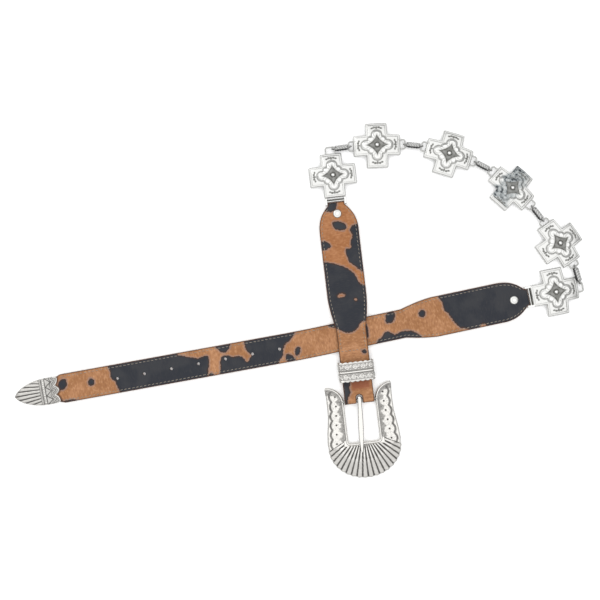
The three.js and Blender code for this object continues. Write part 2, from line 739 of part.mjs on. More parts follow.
function capOutline() {
  const edge = capSide(0, 0);
  const lobe = CAP_LOBE / 2;
  const sideLobe = capHalf(CAP_LENGTH) - lobe;
  const rim = [
    new THREE.Vector2(0.2, lobe + sideLobe * 0.62),
    new THREE.Vector2(CAP_NOTCH * 0.45, lobe + sideLobe * 0.25),
    new THREE.Vector2(CAP_NOTCH, lobe),
    new THREE.Vector2(CAP_NOTCH * 0.4, lobe * 0.78),
    new THREE.Vector2(0, lobe * 0.35),
  ];
  const upper = [...rim.reverse(), ...edge.slice(0, -1)];
  const lower = upper.map((p) => new THREE.Vector2(p.x, -p.y)).reverse();
  return [...upper, new THREE.Vector2(CAP_LENGTH, 0), ...lower];
}

function capRibs(top) {
  const width = CAP_FLUTE_WIDTH / 2;
  const ribs = Array.from({ length: CAP_FLUTES }, (_, i) => {
    const angle = radians((i / (CAP_FLUTES - 1) - 0.5) * CAP_SPREAD);
    const reach = (distance, half, height) => {
      const x = CAP_LENGTH + CAP_FOCUS - distance * Math.cos(angle);
      const y = distance * Math.sin(angle);
      const across = new THREE.Vector2(Math.sin(angle), Math.cos(angle)).multiplyScalar(half);
      return [
        new THREE.Vector3(x - across.x, y - across.y, top - JOIN),
        new THREE.Vector3(x + across.x, y + across.y, top - JOIN),
        new THREE.Vector3(x, y, top + height),
      ];
    };
    const near = reach(CAP_FLUTE_START, width * 0.35, CAP_RIB * 0.3);
    return loft([near, reach(CAP_FLUTE_REACH, width, CAP_RIB)]);
  });
  return joined(ribs);
}

function buildCap() {
  const inside = CAP_LEATHER + GAP;
  const top = inside + CAP_TOP;
  const outline = capOutline();
  const shell = bevelledPlate(outline, inset(outline, CAP_EDGE), 0, top - CAP_EDGE, top);
  const half = capSide(CAP_WALL, -1).slice(0, -1);
  half.push(new THREE.Vector2(CAP_LENGTH - CAP_WALL * 1.3, 0));
  const pocket = prism(mirroredOutline(half), -1, inside);
  const bands = CAP_BANDS.map((share) => {
    const x = CAP_LENGTH * (1 - share);
    const across = capHalf(CAP_LENGTH * share) - CAP_EDGE - JOIN;
    const half = CAP_BAND_WIDTH / 2;
    return box(x - half, x + half, -across, across, top - JOIN, top + CAP_RIB);
  });
  return joined([shell, capRibs(top), ...bands]).subtract(pocket);
}

// Keeper, round the short strap, its middle at x = 0

const KEEPER_INNER = SHORT_WIDTH / 2 + KEEPER_SIDE_GAP;
const KEEPER_CROWN = STRAP_TOP + KEEPER_ROOM;

// Inner or outer side of the keeper's arch, as seen along the strap.
function keeperArch(half, foot, crown, steps) {
  const shoulder = crown - KEEPER_SIDE_DROP;
  const arch = shares(steps, -1, 1).map((share) => {
    const z = shoulder + KEEPER_SIDE_DROP * (1 - share ** 4) ** 0.5;
    return new THREE.Vector2(share * half, z);
  });
  return [new THREE.Vector2(-half, foot), ...arch, new THREE.Vector2(half, foot)];
}

function alongStrap(points, length, middle) {
  const shape = new THREE.Shape(points);
  const geometry = new THREE.ExtrudeGeometry(shape, { depth: length, bevelEnabled: false });
  geometry.translate(0, 0, middle - length / 2);
  geometry.applyMatrix4(new THREE.Matrix4().set(0, 0, 1, 0, 1, 0, 0, 0, 0, 1, 0, 0, 0, 0, 0, 1));
  return solid(geometry);
}

function keeperPlan() {
  const half = KEEPER_INNER + KEEPER_WALL;
  const edge = (side) =>
    Array.from({ length: KEEPER_SCALLOPS }, (_, i) =>
      [0, 0.25, 0.75].map((share) => {
        const y = -half - 0.5 + ((2 * half + 1) * (i + share)) / KEEPER_SCALLOPS;
        const dip = share === 0 ? KEEPER_SCALLOP_DEPTH : 0;
        return new THREE.Vector2(side * (KEEPER_LENGTH / 2 - dip), y);
      }),
    ).flat();
  const right = edge(1);
  const left = edge(-1).reverse();
  return [
    ...right,
    new THREE.Vector2(KEEPER_LENGTH / 2 - KEEPER_SCALLOP_DEPTH, half + 0.5),
    new THREE.Vector2(-KEEPER_LENGTH / 2 + KEEPER_SCALLOP_DEPTH, half + 0.5),
    ...left,
  ];
}

function buildKeeper() {
  const half = KEEPER_INNER + KEEPER_WALL;
  const crown = KEEPER_CROWN + KEEPER_WALL;
  const outer = keeperArch(half, 0, crown, 10);
  const inner = keeperArch(KEEPER_INNER, KEEPER_WALL, KEEPER_CROWN, 10);
  const ridge = keeperArch(half, KEEPER_RIDGE.foot, crown + KEEPER_RIDGE.height, 10);
  const band = alongStrap(outer, KEEPER_LENGTH + 1, 0).intersect(prism(keeperPlan(), -1, 40));
  const outermost = KEEPER_LENGTH / 2 - KEEPER_RIDGE.inset;
  const ridges = [-outermost, 0, outermost].map((x) => alongStrap(ridge, KEEPER_RIDGE.width, x));
  return joined([band, ...ridges]).subtract(alongStrap(inner, KEEPER_LENGTH + 4, 0));
}

// Buckle frame, its bar's axis at x = 0

// Half of the outline, from the middle of the fan round to the middle of the opening's end.
function buckleHalf() {
  const openHalf = OPENING_WIDTH / 2;
  const fan = shares(FAN_RIBS / 2, 0, 1).flatMap((share, i, all) => {
    if (i === all.length - 1) return [];
    const step = 1 / (all.length - 1);
    return [0.5, 1].map((part) => {
      const angle = radians(90 * (share + step * part));
      const dip = part === 1 ? FAN_SCALLOP : 0;
      return new THREE.Vector2(
        FAN_START + (FAN_DEPTH - dip) * Math.cos(angle),
        (BUCKLE_HALF - dip) * Math.sin(angle),
      );
    });
  });
  const swell = BUCKLE_HALF - BUCKLE_SHOULDER;
  const side = BUCKLE_SIDE.map(
    (station) => new THREE.Vector2(FAN_START * station.place, BUCKLE_SHOULDER + swell * station.swell),
  );
  const ear = arcPoints(-EAR_REACH + EAR_RADIUS, openHalf + EAR_RADIUS, EAR_RADIUS, 180, 270, 8);
  const corner = arcPoints(
    OPENING_REACH - OPENING_CORNER,
    openHalf - OPENING_CORNER,
    OPENING_CORNER,
    90,
    0,
    3,
  );
  const middle = new THREE.Vector2(FAN_START + FAN_DEPTH - FAN_SCALLOP, 0);
  return [middle, ...fan, ...side, ...ear, ...corner];
}

function fanRibs(top) {
  const ribs = Array.from({ length: FAN_RIBS }, (_, i) => {
    const angle = radians(((i + 0.5) / FAN_RIBS - 0.5) * FAN_SPREAD);
    const direction = new THREE.Vector2(Math.cos(angle), Math.sin(angle));
    const nearX = (OPENING_REACH + LIP_WIDTH - FAN_FOCUS) / Math.cos(angle);
    const nearY = (BUCKLE_HALF * 0.55) / Math.max(0.01, Math.abs(Math.sin(angle)));
    const near = Math.min(nearX, nearY);
    const far = fanReach(angle) - FAN_MARGIN;
    const width = radians(FAN_SPREAD / FAN_RIBS) * 0.44;
    const section = (distance, height) => {
      const x = FAN_FOCUS + distance * direction.x;
      const y = distance * direction.y;
      const half = width * distance;
      return [
        new THREE.Vector3(x - half * direction.y, y + half * direction.x, top - JOIN),
        new THREE.Vector3(x + half * direction.y, y - half * direction.x, top - JOIN),
        new THREE.Vector3(x, y, top + height),
      ];
    };
    return loft([
      section(near, FAN_RIB_HEIGHT * 0.3),
      section(near + FAN_RIB_RISE, FAN_RIB_HEIGHT),
      section(far, FAN_RIB_HEIGHT * 0.6),
    ]);
  });
  return joined(ribs);
}

// Distance from the fan's focus to its outer edge.
function fanReach(angle) {
  const offset = FAN_FOCUS - FAN_START;
  const c = Math.cos(angle);
  const s = Math.sin(angle);
  const a = (c / FAN_DEPTH) ** 2 + (s / BUCKLE_HALF) ** 2;
  const b = (2 * offset * c) / FAN_DEPTH ** 2;
  const d = (offset / FAN_DEPTH) ** 2 - 1;
  return (-b + Math.sqrt(b ** 2 - 4 * a * d)) / (2 * a);
}

// A raised wave along one side panel.
function wave(top, side) {
  const from = -EAR_REACH + WAVE_MARGIN.horn;
  const to = FAN_START - WAVE_MARGIN.fan;
  const steps = WAVE_COUNT * 5;
  const centre = shares(steps, 0, 1).map((share) => {
    const x = from + (to - from) * share;
    const outerEdge = BUCKLE_SHOULDER + (BUCKLE_HALF - BUCKLE_SHOULDER) * Math.max(0, share - 0.25);
    const bump = Math.abs(Math.sin(Math.PI * WAVE_COUNT * share));
    return new THREE.Vector2(x, outerEdge - WAVE_INSET + WAVE_DEPTH * (bump - 0.5));
  });
  const inner = centre.map((p) => new THREE.Vector2(p.x, side * (p.y - WAVE_WIDTH / 2)));
  const outer = centre.map((p) => new THREE.Vector2(p.x, side * (p.y + WAVE_WIDTH / 2)));
  return prism([...inner, ...outer.reverse()], top - JOIN, top + WAVE_HEIGHT);
}

// The smooth raised border along the opening and up the inner side of both horns.
function lip(top) {
  const openHalf = OPENING_WIDTH / 2;
  const edge = (offset) => [
    ...arcPoints(
      -EAR_REACH + EAR_RADIUS,
      openHalf + EAR_RADIUS,
      EAR_RADIUS - offset,
      190,
      270,
      8,
    ),
    ...arcPoints(
      OPENING_REACH - OPENING_CORNER,
      openHalf - OPENING_CORNER,
      OPENING_CORNER + offset,
      90,
      0,
      3,
    ),
  ];
  const near = mirroredOutline(edge(LIP_INSET));
  const far = mirroredOutline(edge(LIP_WIDTH));
  return prism([...near, ...far.reverse()], top - JOIN, top + LIP_HEIGHT);
}

function buildBuckle() {
  const top = BUCKLE_FLOOR + BUCKLE_PLATE;
  const outline = mirroredOutline(buckleHalf());
  const plate = bevelledPlate(
    outline,
    inset(outline, BUCKLE_BEVEL * 0.7),
    BUCKLE_FLOOR,
    top - BUCKLE_BEVEL,
    top,
  );
  const bar = crossBar(BAR_DIAMETER, OPENING_WIDTH + 2 * BAR_SINK, 0, BAR_Z, 12);
  return joined([plate, lip(top), wave(top, 1), wave(top, -1), fanRibs(top), bar]);
}

// Prong, its eye round the bar at x = 0

function buildProng() {
  const bore = BAR_DIAMETER / 2 + PRONG_BORE_GAP;
  const eye = bore + PRONG_EYE_WALL;
  const rest = BUCKLE_FLOOR + BUCKLE_PLATE + LIP_HEIGHT + GAP;
  const top = rest + PRONG_THICKNESS;
  const profile = [
    ...arcPoints(0, BAR_Z, eye, 100, 300, 10),
    new THREE.Vector2(eye + 1.2, rest - 1.3),
    new THREE.Vector2(OPENING_REACH * 0.6, rest + 0.2),
    new THREE.Vector2(OPENING_REACH, rest + 0.1),
    new THREE.Vector2(PRONG_REACH - 0.5, rest + 0.45),
    new THREE.Vector2(PRONG_REACH, rest + 0.9),
    new THREE.Vector2(PRONG_REACH - 1, rest + PRONG_THICKNESS * 0.8),
    new THREE.Vector2(PRONG_REACH - 4, top),
    new THREE.Vector2(OPENING_REACH * 0.5, top),
    new THREE.Vector2(eye + 1.2, BAR_Z + eye + 0.2),
  ];
  const side = sideProfile(profile, PRONG_WIDTH + 2, [circle(0, BAR_Z, bore, 12)]);
  const half = [
    new THREE.Vector2(-eye - 1, PRONG_WIDTH / 2),
    new THREE.Vector2(eye + 2, PRONG_WIDTH / 2),
    new THREE.Vector2(PRONG_REACH - 5, PRONG_TIP_WIDTH / 2 + 0.2),
    new THREE.Vector2(PRONG_REACH - 1, PRONG_TIP_WIDTH / 2 - 0.4),
    new THREE.Vector2(PRONG_REACH + 0.5, 0.5),
  ];
  return side.intersect(prism(mirroredOutline(half), -1, 20)).rotate([0, 0, PRONG_SKEW]);
}

// Assembly

const belt = new THREE.Group();

function addPiece(name, shape, frame, look) {
  const mesh = new THREE.Mesh(geometryOf(shape), new THREE.MeshStandardMaterial(look));
  mesh.name = name;
  mesh.position.set(frame.x, frame.y, 0);
  mesh.rotation.z = radians(frame.heading);
  belt.add(mesh);
  return mesh;
}

function along(frame, distance, aside = 0, turn = 0) {
  const place = ahead(frame, distance, aside);
  return frameAt(place.x, place.y, frame.heading + turn);
}

addPiece("strap_long", buildLongStrap(), FRAMES.strap_long, TAN_LEATHER);
const capStart = LONG_LENGTH - CAP_LENGTH;
addPiece(
  "tip_cap",
  buildCap(),
  along(FRAMES.strap_long, capStart - FOLD_OUTER, bendOffset(capStart), -BEND_ANGLE),
  SILVER,
);
addPiece("rivet_long", buildRivet(), along(FRAMES.strap_long, LONG_RIVET - FOLD_OUTER), SILVER);

CHAIN_ROUTE.forEach(({ name }, i) => {
  if (name.startsWith("link")) {
    addPiece(name, buildLink(), FRAMES[name], SILVER);
  } else {
    const front = i === CHAIN_ROUTE.length - 1 ? ladder() : wireLoop();
    const back = i === 0 ? ladder() : wireLoop();
    addPiece(name, buildConcho(front, back), FRAMES[name], SILVER);
  }
});

addPiece("strap_short", buildShortStrap(), FRAMES.strap_short, TAN_LEATHER);
addPiece("rivet_short", buildRivet(), along(FRAMES.strap_short, SHORT_RIVET - FOLD_OUTER), SILVER);
const keeperMiddle = SHORT_LENGTH - FOLD_OUTER - KEEPER_PLACE;
addPiece("keeper", buildKeeper(), along(FRAMES.strap_short, keeperMiddle), SILVER);
const atBar = along(FRAMES.strap_short, BAR_PLACE);
addPiece("buckle_frame", buildBuckle(), atBar, SILVER);
addPiece("prong", buildProng(), atBar, SILVER);

// The group's origin is the middle of the belt's footprint, on the ground.
belt.updateMatrixWorld(true);
const bounds = new THREE.Box3().setFromObject(belt, true);
const middle = bounds.getCenter(new THREE.Vector3());
belt.children.forEach((mesh) => mesh.position.add(new THREE.Vector3(-middle.x, -middle.y, -bounds.min.z)));

export default belt;
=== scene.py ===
"""Looks of a concho belt laid flat: printed leather, cast crosses, a fluted tip, a keeper and a buckle.

Lengths are in millimetres and headings in degrees; MM turns lengths into metres. Each piece is made in
its own frame, with x along the belt and y to the left, and then put at its place.
"""

import math

import bpy
import numpy as np
from mathutils import Matrix, Vector
from mathutils.geometry import delaunay_2d_cdt


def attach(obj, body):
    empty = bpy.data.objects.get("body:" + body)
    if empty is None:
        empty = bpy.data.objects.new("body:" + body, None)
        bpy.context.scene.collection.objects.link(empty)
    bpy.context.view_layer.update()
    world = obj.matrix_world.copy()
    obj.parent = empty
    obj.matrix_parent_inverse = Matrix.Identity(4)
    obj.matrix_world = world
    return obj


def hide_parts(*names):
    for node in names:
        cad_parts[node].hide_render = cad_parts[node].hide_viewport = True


MM = 0.001
TURN = 2 * math.pi

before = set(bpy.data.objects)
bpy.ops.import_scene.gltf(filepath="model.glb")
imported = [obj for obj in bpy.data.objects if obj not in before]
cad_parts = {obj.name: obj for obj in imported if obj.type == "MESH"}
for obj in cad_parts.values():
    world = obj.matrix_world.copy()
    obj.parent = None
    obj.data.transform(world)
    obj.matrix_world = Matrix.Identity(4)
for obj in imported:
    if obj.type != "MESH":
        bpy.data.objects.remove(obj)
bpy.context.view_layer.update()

# Places of the pieces: x, y and heading
PLACES = {
    "strap_long": (209.92, 2.18, 192.0),
    "tip_cap": (-221.53, -82.60, 190.3),
    "rivet_long": (197.74, -0.41, 192.0),
    "concho_6": (235.93, 7.23, 11.0),
    "link_5": (259.25, 14.62, 107.5),
    "concho_5": (239.67, 52.13, 125.0),
    "link_4": (225.56, 72.28, 128.0),
    "concho_4": (195.93, 102.92, 138.5),
    "link_3": (177.51, 119.22, 152.5),
    "concho_3": (137.78, 134.61, 163.5),
    "link_2": (114.19, 141.60, 174.0),
    "concho_2": (71.51, 142.43, 182.5),
    "link_1": (47.93, 141.40, 187.5),
    "concho_1": (30.85, 114.68, 276.5),
    "strap_short": (33.85, 88.35, 276.8),
    "rivet_short": (34.94, 79.26, 276.8),
    "keeper": (52.18, -65.32, 276.8),
    "buckle": (55.44, -92.72, 276.8),
}

# Leather
LEATHER = 2.7
FOLD = 1.85
NECK = 15.4
NECK_STRAIGHT = 2.85
NECK_RUN = 30.0
FLARE_LENGTH = 118.0
SHOULDER_RUN = 30.0
FLARE_STATIONS = np.concatenate([
    [0],
    np.linspace(NECK_STRAIGHT, NECK_RUN, 16),
    np.linspace(FLARE_LENGTH - SHOULDER_RUN, FLARE_LENGTH, 16),
])
FLARE_TOP = 3.9
TAB_LENGTH = 25.0
TAB_RAMP = 6.0
LONG = {"length": 483.5, "width": 26.6, "flare": 36.9}
SHORT = {"length": 187.0, "width": 27.2, "flare": 36.2}
BEND_START = 195.0
BEND_RUN = 36.0
BEND_SLOPE = math.tan(math.radians(1.7))
TONGUE = {"inside": 3.0, "narrower": 2.2, "taper": 6.0}
LEATHER_EDGE = 0.5
EDGE_DROP = 0.35
LEATHER_STEP = 1.0
HOLE_RADIUS = 1.4
HOLES = [96.1 + 25.4 * i for i in range(7)]
SEAM = {"inset": 2.4, "start": 7.0, "end_short": 136.0, "sunk_from": 5.0, "sunk_short": 170.0}
CROSS_SEAM = {"place": 137.5, "reach": 10.5, "pitch": 3.5, "heading": 68.0}
STITCH = {"pitch": 3.7, "length": 2.7, "radius": 0.26, "slant": 7.0}
CLIMB = {"start": 91.0, "end": 107.0, "rise": 3.0}
KEEPER_TAB = {"start": 141.0, "under": 1.3}
BAR_PLACE = 184.2
BAR_Z = 2.9
BAR_FOLD = 2.8
PRONG_SLOT = {"width": 6.0, "length": 5.7}

# Tints of the short strap: redder before the buckle, more amber at the flare
REDDISH = {"along": ((160, 166), (171, 176)), "across": ((-7, -4), (9, 13))}
AMBER = {"share": 0.3, "start": 96.0, "end": 116.0}

# Colours of leather, thread and a painted reflection, as linear red, green, blue and 1
TAN_DARK = (0.328, 0.147, 0.057, 1)
TAN_LIGHT = (0.438, 0.213, 0.099, 1)
HAIR_STREAK = (0.29, 0.128, 0.062, 1)
DARK_FLECK = (0.22, 0.095, 0.045, 1)
LIGHT_FLECK = (0.60, 0.33, 0.18, 1)
REDDISH_TAN = (0.25, 0.072, 0.036, 1)
AMBER_TAN = (0.295, 0.08, 0.009, 1)
PRINT_HALO = (0.27, 0.185, 0.16, 1)
PRINT_SHORE = (0.042, 0.025, 0.02, 1)
BLACK_DEEP = (0.021, 0.024, 0.032, 1)
BLACK_WORN = (0.033, 0.035, 0.041, 1)
BLACK_HAIR = (0.055, 0.052, 0.054, 1)
BURNISH_AND_CAP_SHADOW = (0.07, 0.03, 0.016, 1)
SUEDE_DARK = (0.22, 0.12, 0.065, 1)
SUEDE_LIGHT = (0.30, 0.17, 0.095, 1)
THREAD_DARK = (0.25, 0.21, 0.17, 1)
THREAD_LIGHT = (0.37, 0.32, 0.265, 1)
DULL_REFLECTION = (0.215, 0.238, 0.245, 1)
REFLECTION_SPOTS = (0.05, 0.055, 0.062, 1)

# Crosses
SPAN = 43.5
ARM = 20.0
PLATE = 2.1
BEVEL = 0.8
DOME_RISE = 4.0
DOME_RADIUS = 24.0
CONCHO_STEP = 0.42
CORNER = 0.9
BORDER_LINE = (2.05, 2.65)
MEDALLION_RING = (0.2, -0.4, -1.0)
# Distance from the middle and radius of the straight and the slanting lobes and petals
LOBES = ((10.2, 5.0), (7.3, 3.9))
PETALS = ((10.5, 3.0), (7.5, 2.3))
STAR = {"centre": 15.4, "radius": 16.22, "tip": 10.3}
STUD = {"radius": 1.9, "rise": 1.35, "bright": 1.75}
STAMP_PLACE = 16.9
# Leaves of a stamp: outwards, aside, half length, half width
STAMP_LEAVES = [
    (0.1, 0.0, 1.7, 0.95), (0.5, 2.2, 1.05, 1.4), (0.5, -2.2, 1.05, 1.4),
    (-0.4, 4.2, 0.85, 1.2), (-0.4, -4.2, 0.85, 1.2),
]
WIRE_LOOP = {"half": 4.25, "reach": 4.3, "bend": 1.7, "root": 2.6, "height": 2.45, "wire": 0.7}
LADDER = {"ears": 8.85, "strip": 8.6, "shade_web": 8.3, "pin": 4.75, "pin_half": 8.5}
# The cross with a painted dull bluish reflection, and where that painted reflection ends in a dark line
REFLECTING_CROSS = 4
REFLECTION_END = 18.2
# The crosses lean a little in the photo, which narrows them along and across the chain
LEAN = {1: (0.93, 1.0), 2: (1.0, 0.95), 3: (1.0, 0.93), 4: (0.97, 0.91), 5: (1.0, 0.93), 6: (1.0, 1.0)}

# Links
LINK = {"start": 3.4, "end": 14.8, "middle": 2.65, "twist": 1.6, "eyes": (2.0, 16.2)}
STRAND = {"aside": 1.5, "rise": 1.05, "radius": 1.18}
EYE = {"radius": 2.0, "wire": 0.6}

# Tip cap
CAP_LENGTH = 42.0
CAP_WIDTH = 24.8
CAP_TOP = 3.6
CAP_STEP = 0.36
CAP_FAN = {"focus": 29.0, "pitch": 3.35, "end": 24.6}
CAP_BEADS = 28.0
CAP_LOBE = {"half": 4.3, "notch": 3.6}
# Shares of the cap's length at which its side is drawn, denser towards the point
CAP_STATIONS = [1, 0.93, 0.86, 0.79, 0.71, 0.64, 0.57, 0.5, 0.43, 0.36, 0.29, 0.23]
CAP_STATIONS += [0.17, 0.12, 0.083, 0.05, 0.029, 0.012]

# Keeper
KEEPER = {
    "length": 18.5, "half": 16.2, "crown": 11.9, "drop": 3.0, "wall": 1.0,
    "scallops": 11, "scroll": 7.4, "vine": 4.2,
}

# Buckle
OPENING = {"half": 14.6, "reach": 38.6, "corner": 2.0}
HORN = {"radius": 15.8, "reach": 14.6}
BUCKLE_TOP = 3.4
BUCKLE_FLOOR = 0.2
SHOULDER_HALF = 30.4
FAN = {
    "half": 34.0, "start": 42.8, "depth": 29.3, "focus": 26.8,
    "ribs": 18, "spread": 126.0, "dip": 0.7,
}
# The frame's side: shares of the way to the fan with half widths, then the places beyond the bar
SIDE_SHARES = ((0.9, 33.9), (0.67, 33.1), (0.48, 31.8), (0.3, 30.7), (0.07, 30.4))
SIDE_END = ((-6.0, 30.5), (-12.6, 30.8))
LIP = 2.2
BUCKLE_STEP = 0.5
BAR_RADIUS = 1.3
BAR_HALF = 17.5
PRONG_EYE = {"half": 2.3, "radius": 2.5}
PRONG_TURN = -4.0
WAVE = {"start": -9.8, "run": 52.0, "count": 6, "inset": 4.4, "swing": 1.7}
DOTS = {"inset": 8.2, "start": -9.0}


# Mesh helpers


def placed(place, turn=0.0):
    x, y, heading = PLACES[place]
    spin = Matrix.Rotation(math.radians(heading + turn), 4, "Z")
    return Matrix.Translation((x * MM, y * MM, 0)) @ spin


def add_piece(name, parts, place, material, body, replaced=(), sharp=35, turn=0.0):
    """Joins (points, faces, values) parts into one object that rides on a body."""
    points, faces, start = [], [], 0
    values = {}
    for part_points, part_faces, _ in parts:
        points.append(np.asarray(part_points, float))
        faces += [tuple(int(i) + start for i in face) for face in part_faces]
        start += len(part_points)
    for key in {key for part in parts for key in part[2]}:
        values[key] = np.concatenate(
            [np.broadcast_to(part[2].get(key, 0.0), len(part[0])) for part in parts]
        )
    mesh = bpy.data.meshes.new(name)
    mesh.from_pydata((np.concatenate(points) * MM).tolist(), [], faces)
    mesh.polygons.foreach_set("use_smooth", [True] * len(mesh.polygons))
    mesh.set_sharp_from_angle(angle=math.radians(sharp))
    for key, data in values.items():
        layer = mesh.attributes.new(key, "FLOAT", "POINT")
        layer.data.foreach_set("value", np.asarray(data, np.float32))
    mesh.materials.append(material)
    piece = bpy.data.objects.new(name, mesh)
    bpy.context.scene.collection.objects.link(piece)
    piece.matrix_world = placed(place, turn)
    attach(piece, body)
    if replaced:
        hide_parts(*replaced)
    return piece


def moved(part, offset=(0, 0, 0), turn=0.0):
    points, faces, values = part
    c, s = math.cos(math.radians(turn)), math.sin(math.radians(turn))
    spin = np.array([[c, s, 0], [-s, c, 0], [0, 0, 1]])
    return np.asarray(points) @ spin + np.array(offset), faces, values


def gap_to_edge(points, start, end):
    """Squared distance of each point to one straight edge."""
    edge = end - start
    rel = points - start
    share = np.clip(rel @ edge / max(edge @ edge, 1e-12), 0, 1)
    return ((rel - share[:, None] * edge) ** 2).sum(1)


def path_distance(points, path):
    """Distance of each point to an open line."""
    best = np.full(len(points), np.inf)
    for start, end in zip(path[:-1], path[1:]):
        best = np.minimum(best, gap_to_edge(points, start, end))
    return np.sqrt(best)


def signed_distance(points, loop):
    """Distance of each point to a closed line, positive inside it."""
    inside = np.zeros(len(points), bool)
    for start, end in zip(loop, np.roll(loop, -1, axis=0)):
        crosses = (start[1] > points[:, 1]) != (end[1] > points[:, 1])
        if crosses.any():
            x = start[0] + (points[:, 1] - start[1]) * (end[0] - start[0]) / (end[1] - start[1])
            inside ^= crosses & (points[:, 0] < x)
    return np.where(inside, 1.0, -1.0) * path_distance(points, np.concatenate([loop, loop[:1]]))


def resampled(loop, step):
    """A closed line with points at most a step apart."""
    out = []
    loop = np.asarray(loop, float)
    for start, end in zip(loop, np.roll(loop, -1, axis=0)):
        count = max(1, math.ceil(np.hypot(*(end - start)) / step))
        out += [start + (end - start) * i / count for i in range(count)]
    return np.array(out)


def rounded(loop, passes=2):
    """Cuts a closed line's corners to make it flow."""
    loop = np.asarray(loop, float)
    for _ in range(passes):
        after = np.roll(loop, -1, axis=0)
        loop = np.stack([loop * 0.75 + after * 0.25, loop * 0.25 + after * 0.75], 1).reshape(-1, 2)
    return loop


def triangulated(loops, creases, step):
    """Points and triangles that fill the first loop, leave the others open and follow the creases."""
    fixed = [*loops, *creases]
    low = loops[0].min(0)
    high = loops[0].max(0)
    rows = np.arange(low[1], high[1], step * 0.866)
    columns = np.arange(low[0], high[0], step)
    x, y = np.meshgrid(columns, rows)
    x[1::2] += step / 2
    grid = np.stack([x.ravel(), y.ravel()], 1)
    keep = signed_distance(grid, loops[0]) > step * 0.5
    for loop in loops[1:]:
        keep &= signed_distance(grid, loop) < -step * 0.5
    grid = grid[keep]
    for crease in creases:
        grid = grid[np.abs(signed_distance(grid, crease)) > step * 0.4]
    points = [Vector(p) for line in fixed for p in line] + [Vector(p) for p in grid]
    edges, start = [], 0
    for line in fixed:
        count = len(line)
        edges += [(start + i, start + (i + 1) % count) for i in range(count)]
        start += count
    made = delaunay_2d_cdt(points, edges, [], 0, 1e-5)
    flat = np.array([tuple(p) for p in made[0]])
    faces = np.array([f for f in made[2] if len(f) == 3])
    middle = flat[faces].mean(1)
    inside = signed_distance(middle, loops[0]) > 0
    for loop in loops[1:]:
        inside &= signed_distance(middle, loop) < 0
    return flat, faces[inside]


def turned_to(flat, faces, up, first=0):
    """Faces that look up or down, with their points counted from first."""
    a, b, c = flat[faces].transpose(1, 0, 2)
    right = (np.cross(b - a, c - a) > 0) == up
    return [tuple(f + first) if good else tuple(f[::-1] + first) for f, good in zip(faces, right)]


def numbered(flat, first=0):
    """The number of each point, found by its rounded place."""
    return {tuple(np.round(point, 3)): i + first for i, point in enumerate(flat)}


def plate(loops, creases, step, top, under, under_step=3.0):
    """A plate with worked top: top(points) gives heights and values, under(points) the underside."""
    flat, faces = triangulated(loops, creases, step)
    height, values = top(flat)
    low_flat, low_faces = triangulated(loops, [], under_step)
    count = len(flat)
    upper = turned_to(flat, faces, True)
    lower = turned_to(low_flat, low_faces, False, count)
    find_top, find_low = numbered(flat), numbered(low_flat, count)
    walls = []
    for number, loop in enumerate(loops):
        area = np.sum(np.cross(loop, np.roll(loop, -1, axis=0)))
        outward = (area > 0) == (number == 0)
        for a, b in zip(loop, np.roll(loop, -1, axis=0)):
            keys = tuple(np.round(a, 3)), tuple(np.round(b, 3))
            if all(k in find_top and k in find_low for k in keys):
                quad = (find_low[keys[0]], find_low[keys[1]], find_top[keys[1]], find_top[keys[0]])
                walls.append(quad if outward else quad[::-1])
    points = np.concatenate(
        [np.column_stack([flat, height]), np.column_stack([low_flat, under(low_flat)])]
    )
    values = {key: np.concatenate([data, np.zeros(len(low_flat))]) for key, data in values.items()}
    values["underside"] = np.repeat([0.0, 1.0], [count, len(low_flat)])
    return points, upper + lower + walls, values


def ring_faces(rings, sides, closed=False):
    """Faces between rings of points, and over both ends where the row isn't closed."""
    faces = []
    for ring in range(rings if closed else rings - 1):
        after = (ring + 1) % rings
        for i in range(sides):
            j = (i + 1) % sides
            faces.append((ring * sides + i, ring * sides + j, after * sides + j, after * sides + i))
    if not closed:
        faces.append(tuple(range(sides))[::-1])
        faces.append(tuple((rings - 1) * sides + i for i in range(sides)))
    return faces


def tube(path, radius, sides=12, closed=False, recess=0.0):
    """A round wire along a path of 3-D points."""
    path = np.asarray(path, float)
    count = len(path)
    radius = np.broadcast_to(radius, count)
    if closed:
        ahead = np.roll(path, -1, axis=0) - np.roll(path, 1, axis=0)
    else:
        ahead = np.gradient(path, axis=0)
    ahead /= np.linalg.norm(ahead, axis=1)[:, None]
    spin = np.arange(sides) * TURN / sides
    side = np.cross(ahead[0], (0, 0, 1))
    if np.linalg.norm(side) < 0.1:
        side = np.cross(ahead[0], (0, 1, 0))
    rings = []
    for centre, direction, r in zip(path, ahead, radius):
        side = side - direction * (side @ direction)
        side /= np.linalg.norm(side)
        up = np.cross(side, direction)
        rings.append(centre + r * (np.outer(np.cos(spin), side) + np.outer(np.sin(spin), up)))
    return np.concatenate(rings), ring_faces(count, sides, closed), {"recess": np.full(count * sides, recess)}


def bar(start, end, half_width, low, high, soft=0.3):
    """A bar along y at x from start to end, with softened edges."""
    cut = min(soft, (end - start) / 3, (high - low) / 3)
    section = [(start + cut, low), (end - cut, low), (end, low + cut), (end, high - cut)]
    section += [(end - cut, high), (start + cut, high), (start, high - cut), (start, low + cut)]
    near = [(x, -half_width, z) for x, z in section]
    far = [(x, half_width, z) for x, z in section]
    count = len(section)
    faces = [(i, i + count, (i + 1) % count + count, (i + 1) % count) for i in range(count)]
    faces += [tuple(range(count)), tuple(range(count, 2 * count))[::-1]]
    return np.array(near + far), faces, {"recess": np.zeros(2 * count)}


